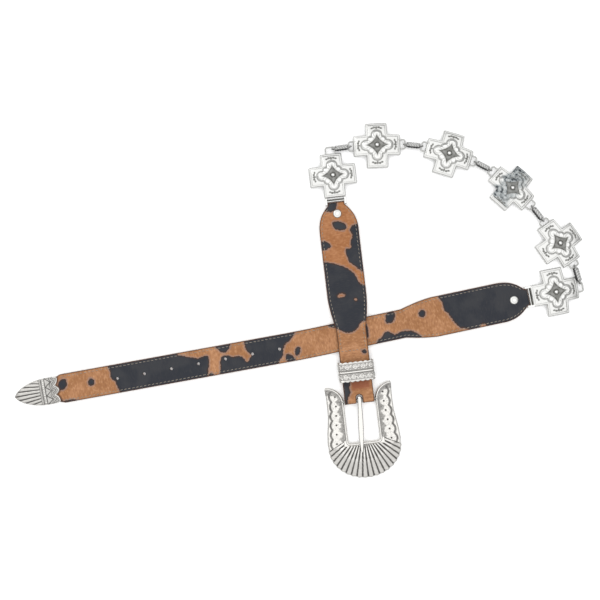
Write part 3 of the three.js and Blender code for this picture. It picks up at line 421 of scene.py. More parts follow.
def turned(profile, sides):
    """Points and faces of a round piece from (radius, height) pairs, the first and last on its axis."""
    spin = np.arange(sides) * TURN / sides
    points = [(0, 0, profile[0][1])]
    for radius, z in profile[1:-1]:
        points += [(radius * math.cos(a), radius * math.sin(a), z) for a in spin]
    points.append((0, 0, profile[-1][1]))
    faces = [(0, 1 + (i + 1) % sides, 1 + i) for i in range(sides)]
    for first in range(1, len(points) - 1 - sides, sides):
        for i in range(sides):
            a, b = first + i, first + (i + 1) % sides
            faces.append((a, b, b + sides, a + sides))
    last = len(points) - 1 - sides
    faces += [(last + i, last + (i + 1) % sides, len(points) - 1) for i in range(sides)]
    return np.array(points, float), faces


def arc(x, y, radius, start, end, steps):
    angles = np.radians(np.linspace(start, end, steps + 1))
    return np.column_stack([x + radius * np.cos(angles), y + radius * np.sin(angles)])


def smooth(low, high, value):
    """Rises softly from 0 at low to 1 at high."""
    share = np.clip((value - low) / (high - low), 0, 1)
    return share * share * (3 - 2 * share)


def between(value, rise, fall):
    """1 on a stretch that starts over the pair rise and ends over the pair fall."""
    return smooth(*rise, value) * (1 - smooth(*fall, value))


def stroke(offset, inner, outer):
    """1 up to inner from a line on either side, 0 beyond outer."""
    return 1 - smooth(inner, outer, np.abs(offset))


def knob(distance, radius):
    """Height of half a ball of radius 1 at a distance from its middle."""
    return np.sqrt(np.clip(1 - (distance / radius) ** 2, 0, 1))


def scatter(count, seed):
    """Even random marks from 0 to 1."""
    return np.random.default_rng(seed).random(count)


# Materials


def new_material(name):
    material = bpy.data.materials.new(name)
    material.use_nodes = True
    tree = material.node_tree
    return material, tree, tree.nodes["Principled BSDF"]


def node(tree, kind, inputs=None, **settings):
    """A new node; each input gets a value, or a link from another node's output."""
    made = tree.nodes.new(kind)
    for key, value in settings.items():
        setattr(made, key, value)
    for key, value in (inputs or {}).items():
        if isinstance(value, bpy.types.NodeSocket):
            tree.links.new(value, made.inputs[key])
        else:
            made.inputs[key].default_value = value
    return made


def new_group(name, inputs, outputs):
    group = bpy.data.node_groups.new(name, "ShaderNodeTree")
    for label, kind, value in inputs:
        group.interface.new_socket(label, in_out="INPUT", socket_type=kind).default_value = value
    for label, kind in outputs:
        group.interface.new_socket(label, in_out="OUTPUT", socket_type=kind)
    return group, group.nodes.new("NodeGroupInput"), group.nodes.new("NodeGroupOutput")


def speckled(tree, size, detail=3.0, stretch=1.0):
    """The speckle group's mask for grains of one size in millimetres."""
    inputs = {"Size": size, "Detail": detail, "Stretch": stretch}
    return node(tree, "ShaderNodeGroup", inputs, node_tree=SPECKLE).outputs["Mask"]


def carried(tree, name):
    """A value that the mesh carries at its points."""
    return node(tree, "ShaderNodeAttribute", attribute_name=name).outputs["Fac"]


def mix_colour(tree, factor, a, b):
    return node(tree, "ShaderNodeMix", {0: factor, 6: a, 7: b}, data_type="RGBA").outputs[2]


def math_node(tree, operation, a, b, clamp=False):
    return node(tree, "ShaderNodeMath", {0: a, 1: b}, operation=operation, use_clamp=clamp).outputs[0]


def ramped(tree, value, low, high, to_low=0.0, to_high=1.0):
    """A value turned softly from the range low to high into the range to_low to to_high."""
    inputs = {"Value": value, "From Min": low, "From Max": high, "To Min": to_low, "To Max": to_high}
    return node(tree, "ShaderNodeMapRange", inputs, interpolation_type="SMOOTHSTEP").outputs["Result"]


def add_bump(tree, shader, height, strength, depth):
    """Fine relief from a height, with its depth in millimetres."""
    inputs = {"Height": height, "Strength": strength, "Distance": depth * MM}
    tree.links.new(node(tree, "ShaderNodeBump", inputs).outputs["Normal"], shader.inputs["Normal"])


def speckle_group():
    """Uneven tone: a mask from noise of one size in millimetres, stretched along the piece."""
    defaults = (("Size", 1.0), ("Stretch", 1.0), ("Detail", 3.0))
    inputs = [(label, "NodeSocketFloat", value) for label, value in defaults]
    group, start, end = new_group("speckle", inputs, [("Mask", "NodeSocketFloat")])
    place = node(group, "ShaderNodeTexCoord").outputs["Object"]
    scale = math_node(group, "DIVIDE", 1 / MM, start.outputs["Size"])
    across = math_node(group, "DIVIDE", scale, start.outputs["Stretch"])
    size = node(group, "ShaderNodeCombineXYZ", {"X": scale, "Y": across, "Z": scale}).outputs["Vector"]
    stretched = node(group, "ShaderNodeVectorMath", {0: place, 1: size}, operation="MULTIPLY")
    inputs = {"Vector": stretched.outputs["Vector"], "Scale": 1.0, "Detail": start.outputs["Detail"]}
    noise = node(group, "ShaderNodeTexNoise", inputs)
    group.links.new(noise.outputs["Fac"], end.inputs["Mask"])
    return group


def patina_and_shade_group():
    """Dark patina in the hollows of cast metal and painted shade where the mesh asks for it, thinned where it
    was rubbed.
    """
    group, start, end = new_group(
        "patina_and_painted_shade",
        [("Metal", "NodeSocketColor", (0.8, 0.8, 0.8, 1)), ("Dark", "NodeSocketColor", (0.1, 0.1, 0.1, 1))],
        [("Color", "NodeSocketColor"), ("Mask", "NodeSocketFloat"), ("Roughness", "NodeSocketFloat")],
    )
    rubbed = ramped(group, speckled(group, 2.2, 4.0), 0.35, 0.75, 1.0, 0.78)
    # The mesh's mask holds both real patina in hollows and painted shade
    held = math_node(group, "MULTIPLY", carried(group, "recess"), rubbed, clamp=True)
    haze = ramped(group, speckled(group, 0.6, 2.0), 0.5, 0.8, 0.0, 0.14)
    mask = math_node(group, "MAXIMUM", held, haze)
    colour = mix_colour(group, mask, start.outputs["Metal"], start.outputs["Dark"])
    group.links.new(colour, end.inputs["Color"])
    group.links.new(mask, end.inputs["Mask"])
    group.links.new(ramped(group, mask, 0.0, 1.0, 0.24, 0.55), end.inputs["Roughness"])
    return group


def silver_material(name, metal, dark):
    """Cast metal with patina in its hollows and painted shade, and a painted dull reflection with dark spots
    where the mesh carries it.
    """
    material, tree, shader = new_material(name)
    worn = node(tree, "ShaderNodeGroup", {"Metal": metal, "Dark": dark}, node_tree=PATINA_AND_SHADE)
    reflected = carried(tree, "tarnish")
    reflection_blotches = speckled(tree, 3.0, 5.0)
    # Painted dull bluish reflection, broken into blotches, with dark spots where it is thickest
    dull = math_node(tree, "MULTIPLY", reflected, ramped(tree, reflection_blotches, 0.35, 0.55, 0.55, 1.0))
    colour = mix_colour(tree, dull, worn.outputs["Color"], DULL_REFLECTION)
    thick_reflection = ramped(tree, reflected, 0.7, 0.95)
    reflection_spots = math_node(tree, "MULTIPLY", thick_reflection, ramped(tree, reflection_blotches, 0.5, 0.62))
    colour = mix_colour(tree, reflection_spots, colour, REFLECTION_SPOTS)
    tree.links.new(colour, shader.inputs["Base Color"])
    tree.links.new(worn.outputs["Roughness"], shader.inputs["Roughness"])
    tree.links.new(ramped(tree, worn.outputs["Mask"], 0.1, 1.0, 1.0, 0.2), shader.inputs["Metallic"])
    add_bump(tree, shader, speckled(tree, 1.1), 0.22, 0.12)
    return material


def tanned(tree, wide, hair):
    """The bare hide: clouds, hair streaks and flecks, redder or more amber where the strap says."""
    tan = mix_colour(tree, ramped(tree, wide, 0.35, 0.68), TAN_DARK, TAN_LIGHT)
    tan = mix_colour(tree, ramped(tree, hair, 0.3, 0.75, 0.0, 0.5), tan, HAIR_STREAK)
    flecks = speckled(tree, 1.6, 4.0, 2.0)
    tan = mix_colour(tree, ramped(tree, flecks, 0.5, 0.72, 0.0, 0.5), tan, DARK_FLECK)
    tan = mix_colour(tree, ramped(tree, flecks, 0.5, 0.3, 0.0, 0.4), tan, LIGHT_FLECK)
    tan = mix_colour(tree, carried(tree, "reddish"), tan, REDDISH_TAN)
    return mix_colour(tree, carried(tree, "amber"), tan, AMBER_TAN)


def printed(tree, tan, wide, hair):
    """Dark patches over the hide, each with a dark shore and a greyish halo."""
    wander = ramped(tree, speckled(tree, 2.2), 0.25, 0.75, -0.5, 0.5)
    shore = math_node(tree, "ADD", carried(tree, "print"), wander)
    halo = math_node(tree, "MULTIPLY", ramped(tree, shore, -1.9, -0.6), 0.62)
    tone = mix_colour(tree, halo, tan, PRINT_HALO)
    tone = mix_colour(tree, ramped(tree, shore, -0.45, 0.15), tone, PRINT_SHORE)
    black = mix_colour(tree, ramped(tree, wide, 0.4, 0.65), BLACK_DEEP, BLACK_WORN)
    black = mix_colour(tree, ramped(tree, hair, 0.45, 0.8, 0.0, 0.5), black, BLACK_HAIR)
    return mix_colour(tree, ramped(tree, shore, 0.5, 1.3), tone, black)


def leather_material():
    """Printed hide with burnished edges and a painted shadow beside the tip cap's rim, a sunk seam and a
    plain suede underside.
    """
    material, tree, shader = new_material("printed_leather")
    wide = speckled(tree, 16.0)
    hair = speckled(tree, 0.7, 4.0, 7.0)
    tone = printed(tree, tanned(tree, wide, hair), wide, hair)
    # Burnished edges, and a painted shadow along the tip cap's rim, share this darkening
    tone = mix_colour(tree, ramped(tree, carried(tree, "side"), 0.35, 1.2, 0.85, 0.0), tone, BURNISH_AND_CAP_SHADOW)
    suede = mix_colour(tree, wide, SUEDE_DARK, SUEDE_LIGHT)
    tone = mix_colour(tree, carried(tree, "underside"), tone, suede)
    tree.links.new(tone, shader.inputs["Base Color"])
    tree.links.new(ramped(tree, hair, 0.2, 0.8, 0.5, 0.7), shader.inputs["Roughness"])
    shader.inputs["Specular IOR Level"].default_value = 0.2
    groove = ramped(tree, carried(tree, "seam"), 0.0, 1.0, -1.0, 0.0)
    grain = math_node(tree, "MULTIPLY", speckled(tree, 0.45), 0.5)
    fibres = math_node(tree, "ADD", math_node(tree, "MULTIPLY", hair, 0.8), grain)
    height = math_node(tree, "ADD", fibres, math_node(tree, "MULTIPLY", groove, 2.2))
    add_bump(tree, shader, height, 0.5, 0.14)
    return material


def thread_material():
    """Waxed thread with its strands twisted together."""
    material, tree, shader = new_material("waxed_thread")
    dust = speckled(tree, 1.3)
    tone = mix_colour(tree, ramped(tree, dust, 0.35, 0.7), THREAD_DARK, THREAD_LIGHT)
    tree.links.new(tone, shader.inputs["Base Color"])
    tree.links.new(ramped(tree, dust, 0.3, 0.8, 0.5, 0.7), shader.inputs["Roughness"])
    place = node(tree, "ShaderNodeTexCoord").outputs["Object"]
    inputs = {"Vector": place, "Scale": 900.0, "Distortion": 1.0}
    twist = node(tree, "ShaderNodeTexWave", inputs, bands_direction="DIAGONAL")
    add_bump(tree, shader, twist.outputs["Fac"], 0.5, 0.1)
    return material


SPECKLE = speckle_group()
PATINA_AND_SHADE = patina_and_shade_group()
SILVER = silver_material("bright_silver", (0.70, 0.70, 0.685, 1), (0.06, 0.06, 0.05, 1))
AGED = silver_material("aged_silver", (0.69, 0.675, 0.645, 1), (0.055, 0.051, 0.046, 1))
WIRE = silver_material("silver_wire", (0.66, 0.66, 0.65, 1), (0.03, 0.03, 0.03, 1))
LEATHER_LOOK = leather_material()
THREAD = thread_material()


# Straps


def bend_offset(distance):
    past = np.asarray(distance, float) - BEND_START
    easing = -BEND_SLOPE * past**2 / (2 * BEND_RUN)
    straight = -BEND_SLOPE * (past - BEND_RUN / 2)
    return np.where(past <= 0, 0.0, np.where(past < BEND_RUN, easing, straight))


def flare_half(distance, strap):
    straight, full, neck = strap["width"] / 2, strap["flare"] / 2, NECK / 2
    distance = np.asarray(distance, float)
    opening = np.clip((distance - NECK_STRAIGHT) / (NECK_RUN - NECK_STRAIGHT), 0, 1)
    swelling = full - (full - neck) * (1 - opening) ** 2.8
    past = np.clip((distance - (FLARE_LENGTH - SHOULDER_RUN)) / SHOULDER_RUN, 0, 1)
    return np.where(distance < NECK_RUN, swelling, full - (full - straight) * past**1.5)


def cap_half(from_point):
    widest = 0.72 * CAP_LENGTH
    share = np.clip(np.asarray(from_point, float) / widest, 0, 1)
    swell = (1 - (1 - share) ** 2) ** 0.65
    past = np.clip(np.asarray(from_point, float) - widest, 0, None) / (CAP_LENGTH - widest)
    return CAP_WIDTH / 2 * swell * (1 - 0.055 * past**2)


def fold_height(distance, base):
    """How far the top lies above the middle of a fold's round end."""
    return np.sqrt(np.clip(base**2 - (np.clip(base - distance, 0, base)) ** 2, 0, None))


def round_fold(distance, height):
    """Rounds a strap's top over the fold at its pin."""
    folded = FOLD + fold_height(distance, FOLD)
    return np.where(distance < FOLD, np.minimum(folded, height), height)


def flare_top(distance):
    return np.interp(distance, [TAB_LENGTH, TAB_LENGTH + TAB_RAMP], [FLARE_TOP, LEATHER])


def print_distance(points, patches, bare):
    inside = np.full(len(points), -30.0)
    for patch in patches:
        inside = np.maximum(inside, signed_distance(points, rounded(patch)))
    for patch in bare:
        inside = np.minimum(inside, -signed_distance(points, rounded(patch)))
    return inside


def ellipse(x, y, along, across, tilt=0.0, count=12):
    spin = np.arange(count) * TURN / count
    c, s = math.cos(math.radians(tilt)), math.sin(math.radians(tilt))
    u, v = along * np.cos(spin), across * np.sin(spin)
    return np.column_stack([x + u * c - v * s, y + u * s + v * c])


# Patches of the print, as distances from the strap's fold and to the left of its middle
LONG_PRINT = [
    [
        (-9, 22), (42, 22), (44, 15.5), (49, 15.5), (51, 22), (57, 22), (60, 16.5), (68, 15), (71, 10),
        (74, 4), (76, -1), (79.5, -5), (78.5, -10), (80.5, -14), (83, -22), (-9, -22),
    ],
    [
        (103, 22), (104, 15), (109, 10), (113, 8), (119, 6.6), (124, 7), (128, 9), (131, 6.5),
        (133, 4), (137, 4), (139.5, 8), (144, 10), (147, 13), (148, 22),
    ],
    ellipse(99.5, -5.5, 3.2, 3.4),
    [(124, -13), (125, -6), (128, -3.4), (133.3, -3.2), (134, -7), (131.5, -12.4), (129, -13.6)],
    [(151.6, 5), (153.6, 6), (154.6, 0), (154, -7), (151.6, -7)],
    [(175, -16), (177, -10.8), (182, -9.6), (186.5, -11.8), (188, -16)],
    ellipse(219, 5, 2.4, 4.1, -25),
    [(222, 13), (224, 8.6), (227, 5.9), (230.4, 6.2), (231.6, 9.5), (230, 13), (226, 14)],
    [
        (240, 17), (238, 10.5), (234, 8), (232, 3), (231, -1), (229, -4), (224, -6), (221, -9),
        (218, -12), (215, -18), (265, -18), (266, -6), (263.5, -1.5), (261, 0.6), (263, 3), (266.8, 7.5),
        (268.6, 3), (271, 0.3), (275, -0.8), (279, -0.3), (283, -2.8), (286, -3.9), (289, -2.2), (291, 2),
        (292, 8), (293.6, 12), (295, 17),
    ],
    [(277, -18), (280, -9), (283, -6.6), (286, -6.1), (289, -7.6), (292, -11), (293, -18)],
    [(298, 17), (299.5, 11), (301.5, 9.6), (303.5, 11), (304, 13.4), (303, 17)],
    [
        (306, 17), (304, 9), (302, 3), (300.6, -1), (300.6, -5.6), (304, -6.4), (307, -5.2), (311, -5),
        (315, -6.5), (319, -8), (324, -9.8), (328, -11), (331, -18), (396, -18), (391.5, -8),
        (393, -3), (391.8, 0), (389, 2.5), (388.5, 7), (386, 17),
    ],
    ellipse(411.5, -1.3, 2.9, 3.5, -15),
    [(433, -7), (434.5, -1), (438, 1.2), (442, 1.4), (442.6, -3), (440, -7.4), (436, -9.2)],
    [(423, 17), (427, 12), (436, 11), (440, 12), (443, 9), (445, 5), (449, 5), (449, 17)],
    [(441, -16), (443, -9), (446, -6), (450, -6), (450, -16)],
]
SHORT_PRINT = [
    [(-9, 3), (3, 0.6), (7.4, -1), (8.8, -5), (8.4, -9), (5, -13), (-9, -14)],
    [(17.4, -3.4), (18.6, 2), (21.4, 6.2), (24, 7.2), (26.8, 5.2), (26.4, 0), (24.2, -4.6), (20, -6)],
    [
        (21.5, 24), (22.6, 15), (24, 11), (27, 9.6), (31, 11.5), (34, 11.5), (38, 9.2), (43, 9.5),
        (45, 8), (43, 5), (47, 3.2), (51, 4.6), (56, 5.6), (59, 8), (62, 12), (66, 15.5), (68, 24),
    ],
    [(33, -24), (35, -14), (37, -10.6), (40, -9), (42, -11.5), (43, -15), (42.6, -24)],
    [
        (53.6, -24), (54.5, -14), (57, -7), (59, -2), (62, 3), (66, 8), (70, 10.5), (75, 12),
        (79, 14.5), (80, 24), (110, 24), (112, 9.8), (115, 8), (118.8, 5), (121, 0), (120.6, -5),
        (118, -10), (115, -15), (115, -24),
    ],
    ellipse(140, 9.5, 2.0, 2.1),
    [
        (160, -6.3), (168, -7), (173, -8.4), (175.5, -6.6), (179, -9.5), (183, -11), (190, -12), (190, -17),
        (160, -17),
    ],
]
SHORT_BARE = [ellipse(86.3, -5.2, 2.0, 3.9), ellipse(91.4, 7.6, 1.2, 1.3)]


def strap_outline(strap, stations, ending):
    half = flare_half(stations, strap)
    left = np.column_stack([stations, half])
    return resampled(np.concatenate([left, ending, left[::-1] * (1, -1)]), LEATHER_STEP)


def inset_loop(loop, distance):
    """A closed line moved inwards by a small distance."""
    before = loop - np.roll(loop, 1, axis=0)
    after = np.roll(loop, -1, axis=0) - loop
    normal = np.column_stack([-(before + after)[:, 1], (before + after)[:, 0]])
    normal /= np.linalg.norm(normal, axis=1)[:, None] + 1e-9
    side = np.sign(np.sum(np.cross(loop, np.roll(loop, -1, axis=0))))
    return loop + side * distance * normal


def leather_values(flat, outline, patches, bare, seam_end):
    """Distance to the strap's edge, and what the leather's material reads."""
    side = np.clip(signed_distance(flat, outline), 0, 30)
    sewn = (flat[:, 0] > SEAM["sunk_from"]) & (flat[:, 0] < seam_end)
    values = {"side": side, "seam": np.where(sewn, np.abs(side - SEAM["inset"]), 5.0)}
    values["print"] = print_distance(flat, patches, bare)
    values["reddish"] = np.zeros(len(flat))
    values["amber"] = np.zeros(len(flat))
    return side, values


def shifted_to_pin(part, bent):
    points, faces, values = part
    points = points.copy()
    if bent:
        points[:, 1] += bend_offset(points[:, 0])
    points[:, 0] -= FOLD
    return points, faces, values


def long_strap():
    end = LONG["length"] - CAP_LENGTH + TONGUE["inside"]
    half = LONG["width"] / 2 - TONGUE["narrower"]
    stations = np.concatenate([FLARE_STATIONS, [end - TONGUE["taper"]]])
    outline = strap_outline(LONG, stations, np.array([(end, half), (end, -half)]))
    cap_rim = rim_line() + (LONG["length"] - CAP_LENGTH, 0)
    holes = [arc(LONG["length"] - d, 0, HOLE_RADIUS, 0, 345, 23) for d in HOLES]

    def top(flat):
        side, values = leather_values(flat, outline, LONG_PRINT, [], end)
        # Beside the cap's rim the leather takes the same darkening: painted shadow of the cap
        values["side"] = np.minimum(side, 0.45 * path_distance(flat, cap_rim) + 0.25)
        height = round_fold(flat[:, 0], flare_top(flat[:, 0]))
        height -= EDGE_DROP * (1 - smooth(0, 0.9, side))
        for hole in holes:
            height -= 0.25 * (1 - smooth(0, 0.7, -signed_distance(flat, hole)))
        return height, values

    def under(flat):
        return FOLD - fold_height(flat[:, 0], FOLD)

    creases = [inset_loop(outline, LEATHER_EDGE)]
    part = plate([outline, *holes], creases, LEATHER_STEP, top, under, 6.0)
    return shifted_to_pin(part, True)


def climbed(distance):
    """How far the short strap is lifted to lie over the long one."""
    return np.interp(distance, [CLIMB["start"], CLIMB["end"]], [0.0, CLIMB["rise"]])


def short_top(distance):
    folded = BAR_Z + fold_height(SHORT["length"] - distance, BAR_FOLD)
    return np.where(distance > BAR_PLACE, folded, flare_top(distance) + climbed(distance))


def short_under(distance):
    tab_start, drop = KEEPER_TAB["start"], CLIMB["rise"] - KEEPER_TAB["under"]
    height = climbed(distance) + np.interp(distance, [tab_start, tab_start + 1], [0, -drop])
    ended = BAR_Z - fold_height(SHORT["length"] - distance, BAR_FOLD)
    height = np.where(distance > BAR_PLACE, ended, height)
    return np.where(distance < FOLD, FOLD - fold_height(distance, FOLD), height)


def short_strap():
    end, half = SHORT["length"], SHORT["width"] / 2
    slot_half = PRONG_SLOT["width"] / 2
    slot = arc(BAR_PLACE - PRONG_SLOT["length"] + slot_half, 0, slot_half, 90, 270, 14)
    ending = np.concatenate([[(end, half), (end, slot_half)], slot, [(end, -slot_half), (end, -half)]])
    outline = strap_outline(SHORT, FLARE_STATIONS, ending)

    def top(flat):
        x, y = flat.T
        side, values = leather_values(flat, outline, SHORT_PRINT, SHORT_BARE, SEAM["sunk_short"])
        values["reddish"] = 0.8 * between(x, *REDDISH["along"]) * between(y, *REDDISH["across"])
        values["amber"] = AMBER["share"] * (1 - smooth(AMBER["start"], AMBER["end"], x))
        height = round_fold(x, short_top(x))
        return height - EDGE_DROP * (1 - smooth(0, 0.9, side)) * (x < end - 1), values

    part = plate([outline], [], LEATHER_STEP, top, lambda flat: short_under(flat[:, 0]), 4.0)
    return shifted_to_pin(part, False)


def stitch_shape():
    """One stitch: a thread that dives into the leather at both ends."""
    length, radius = STITCH["length"] / 2, STITCH["radius"]
    profile = [(-length, 0.35), (-length * 0.8, 0.8), (-length * 0.3, 1.0)]
    profile += [(-x, r) for x, r in profile[::-1]]
    path = [(x, 0, 0.12 - 0.35 * (x / length) ** 2) for x, _ in profile]
    return tube(path, [radius * r for _, r in profile], 8)


def sewn(name, places, place, body):
    """Stitches at (x, y, z, heading) places."""
    shape = stitch_shape()
    parts = [moved(shape, (x, y, z), heading) for x, y, z, heading in places]
    return add_piece(name, parts, place, THREAD, body, sharp=80)


def seam_places(strap, end, height, bent):
    """Both edge seams, from the flared end along the strap."""
    places = []
    for side in (1, -1):
        along = SEAM["start"]
        while along < end:
            half = flare_half([along - 1, along + 1], strap) - SEAM["inset"]
            slope = math.degrees(math.atan2(half[1] - half[0], 2)) * side
            y = side * half.mean()
            if bent:
                y += float(bend_offset(along))
                slope += math.degrees(math.atan2(float(bend_offset(along + 1) - bend_offset(along - 1)), 2))
            places.append((along - FOLD, y, height(along), slope + STITCH["slant"] * side))
            along += STITCH["pitch"] * math.cos(math.radians(slope))
    return places


def build_straps():
    for name, part in (("long", long_strap()), ("short", short_strap())):
        node_name = f"strap_{name}"
        add_piece(f"leather_{name}", [part], node_name, LEATHER_LOOK, "belt", [node_name], 50)
    cap_start = LONG["length"] - CAP_LENGTH - 1
    long_seams = seam_places(LONG, cap_start, lambda d: float(flare_top(d)), True)
    sewn("stitches_long", long_seams, "strap_long", "belt")
    short_seams = seam_places(SHORT, SEAM["end_short"], lambda d: float(short_top(d)), False)
    place, reach = CROSS_SEAM["place"], CROSS_SEAM["reach"]
    across = np.arange(-reach, reach + 0.5, CROSS_SEAM["pitch"])
    row = [(place - FOLD, y, float(short_top(place)), CROSS_SEAM["heading"]) for y in across]
    sewn("stitches_short", short_seams + row, "strap_short", "belt")


# Crosses


def four_times(points):
    """One arm's points repeated round the middle, a quarter turn apart."""
    quarters = ((1, 0), (0, 1), (-1, 0), (0, -1))
    return np.concatenate([points @ np.array([[c, s], [-s, c]]) for c, s in quarters])


def cross_loop(inset):
    """The cross's outline, moved inwards."""
    half, arm = SPAN / 2 - inset, ARM / 2 - inset
    corner = max(0.25, CORNER - inset * 0.5)
    low = arc(half - corner, corner - arm, corner, -90, 0, 4)
    high = arc(half - corner, arm - corner, corner, 0, 90, 4)
    return four_times(np.concatenate([low, high, [(arm, arm)]]))


def medallion_reach(angle):
    """The far edge of eight overlapping lobes in each direction."""
    reach = np.zeros_like(angle)
    for lobe in range(8):
        centre, radius = LOBES[lobe % 2]
        off = angle - lobe * TURN / 8
        across = centre * np.sin(off)
        found = centre * np.cos(off) + np.sqrt(np.clip(radius**2 - across**2, 0, None))
        good = (np.cos(off) > 0) & (np.abs(across) < radius)
        reach = np.where(good, np.maximum(reach, found), reach)
    return reach


def medallion_loop(shift):
    """The medallion's outline, moved outwards."""
    angle = np.arange(144) * TURN / 144
    reach = medallion_reach(angle) + shift
    return np.column_stack([reach * np.cos(angle), reach * np.sin(angle)])


def star_loop():
    """A four-pointed star with hollow sides, each an arc."""
    centre = STAR["centre"]
    opened = math.degrees(math.atan2(centre, centre - STAR["tip"]))
    side = arc(centre, centre, STAR["radius"], 270 - opened, 180 + opened, 14)
    return four_times(side[::-1])


def dome(x, y):
    return np.clip(DOME_RISE * (1 - (x**2 + y**2) / DOME_RADIUS**2), 0, None)


def stamp(x, y):
    """A small winged drop stamped near the end of each arm, as a depth from 0 to 1."""
    deep = np.zeros(len(x))
    for quarter in range(4):
        c, s = math.cos(quarter * TURN / 4), math.sin(quarter * TURN / 4)
        along, across = x * c + y * s - STAMP_PLACE, y * c - x * s
        for out, side, long_way, wide in STAMP_LEAVES:
            reach = np.hypot((along - out) / long_way, (across - side) / wide)
            deep = np.maximum(deep, 1 - smooth(0.7, 1.2, reach))
    return deep


def petals(x, y):
    """Round petals chased inside the medallion's eight lobes, as a depth from 0 to 1."""
    deep = np.zeros(len(x))
    for lobe in range(8):
        centre, radius = PETALS[lobe % 2]
        turn = lobe * TURN / 8
        reach = np.hypot(x - centre * math.cos(turn), y - centre * math.sin(turn))
        deep = np.maximum(deep, stroke(reach - radius, 0.2, 0.55))
    return deep


def concho_top(flat):
    """A cross's face: bevel, border line, lobed medallion, sunk star with a stud, and stamps."""
    x, y = flat.T
    edge = signed_distance(flat, cross_loop(0))
    lobes = signed_distance(flat, medallion_loop(MEDALLION_RING[1]))
    star = signed_distance(flat, star_loop())
    radius = np.hypot(x, y)
    line = between(edge, (1.5, 1.8), (2.1, 2.5))
    ring = stroke(lobes, 0.42, 0.9)
    inner = petals(x, y) * (star < -0.5)
    sunk = smooth(-0.2, 0.2, star)
    marks = stamp(x, y)
    height = PLATE - BEVEL + BEVEL * np.sin(np.clip(edge / BEVEL, 0, 1) * math.pi / 2)
    height -= 0.2 * line + 0.35 * ring + 0.12 * inner + 0.35 * sunk + 0.2 * marks
    height += 0.25 * smooth(0.4, 2.2, lobes)
    height += STUD["rise"] * knob(radius, STUD["radius"])
    depths = {
        "border": 0.42 * line,
        "ring": 0.66 * ring,
        "petals": 0.42 * inner,
        "star": sunk * (0.84 + 0.16 * (1 - smooth(0.7, 1.5, star))),
        # Soft darkening just outside the sunk star: painted shade beside its edge
        "halo": 0.2 * smooth(-2.2, -0.4, star),
        "stamps": 0.9 * marks,
        "collar": 1.2 * sunk * between(radius, (1.7, 1.9), (2.5, 3.2)),
        # Grey along the outer bevel: painted shade on the edge that falls away
        "rim": 0.26 * (1 - smooth(0.9, 1.5, edge)),
        "field": 0.12 * (lobes < -0.8),
    }
    recess = np.maximum.reduce(list(depths.values()))
    return height + dome(x, y), {"recess": np.where(radius < STUD["bright"], 0.0, recess)}


def concho_plate():
    creases = [resampled(cross_loop(d), 0.8) for d in (BEVEL, *BORDER_LINE)]
    creases += [medallion_loop(d) for d in MEDALLION_RING]
    creases.append(star_loop())
    outline = resampled(cross_loop(0), 1.0)
    return plate([outline], creases, CONCHO_STEP, concho_top, lambda flat: dome(*flat.T), 2.5)


def wire_loop():
    """The flat wire loop at an arm's end."""
    half, bend = WIRE_LOOP["half"], WIRE_LOOP["bend"]
    far, near = SPAN / 2 + WIRE_LOOP["reach"], SPAN / 2 - WIRE_LOOP["root"]
    corner = arc(far - bend, half - bend, bend, 0, 90, 8)
    side = np.concatenate([[(far, 0)], corner, [(near + 1, half), (near, half)]])
    path = np.concatenate([side[::-1], side[1:] * (1, -1)])
    path = np.column_stack([path, np.full(len(path), WIRE_LOOP["height"])])
    return tube(path, WIRE_LOOP["wire"], 14, recess=0.42)


def ladder():
    """Ears, strip and pin that hold the folded leather, and a thin web in the slot painted dark as shade."""
    edge, pin_half = SPAN / 2, LADDER["pin_half"]
    ear = bar(edge - 1.5, edge + 5.45, 0.85, 0.4, 2.8, 0.35)
    parts = [moved(ear, (0, side * LADDER["ears"], 0)) for side in (1, -1)]
    parts.append(bar(edge + 1.3, edge + 2.6, LADDER["strip"], 0.9, 2.85, 0.4))
    # A thin web in the slot, painted dark: painted shade where the slot would show the floor
    points, faces, _ = bar(edge - 0.1, edge + 1.4, LADDER["shade_web"], 0.7, 1.3, 0.1)
    parts.append((points, faces, {"recess": np.full(len(points), 1.5)}))
    pin = [(edge + LADDER["pin"], y, FOLD) for y in np.linspace(-pin_half, pin_half, 4)]
    parts.append(tube(pin, 0.7, 12))
    return parts


def with_painted_reflection(part):
    """A cross with a painted dull bluish reflection over the two arms that lie across the chain."""
    points, faces, values = part
    x, y, _ = np.asarray(points).T
    wander = 1.6 * np.sin(0.45 * y) + 0.9 * np.sin(1.1 * y + 1)
    # Painted dull reflection: a wavy band over the arms across the chain, fading towards the far arm's end
    reflected = 1 - smooth(7.5, 12.0, np.abs(x - 2.5 + wander))
    reflected *= 0.72 + 0.23 * smooth(-5, 5, x)
    reflected *= 1 - smooth(17.6, REFLECTION_END, y)
    clean_star = 1 - 0.85 * (values["recess"] > 0.8)
    line = 0.95 * (np.abs(y - REFLECTION_END) < 0.45) * smooth(10, 7, np.abs(x))
    dull = reflected * clean_star * (np.hypot(x, y) > STUD["bright"])
    return points, faces, {"recess": np.maximum(values["recess"], line), "tarnish": dull}


def build_conchos():
    body = concho_plate()
    for number, (along, across) in LEAN.items():
        front = ladder() if number == 1 else [wire_loop()]
        back = ladder() if number == 6 else [wire_loop()]
        ends = front + [moved(part, turn=180) for part in back]
        # One cross carries the painted dull reflection
        points, faces, values = with_painted_reflection(body) if number == REFLECTING_CROSS else body
        face = (points * (along, across, 1), faces, values)
        name = f"concho_{number}"
        add_piece(f"cross_{number}", [face, *ends], name, SILVER, "belt", [name], 40)


# Links


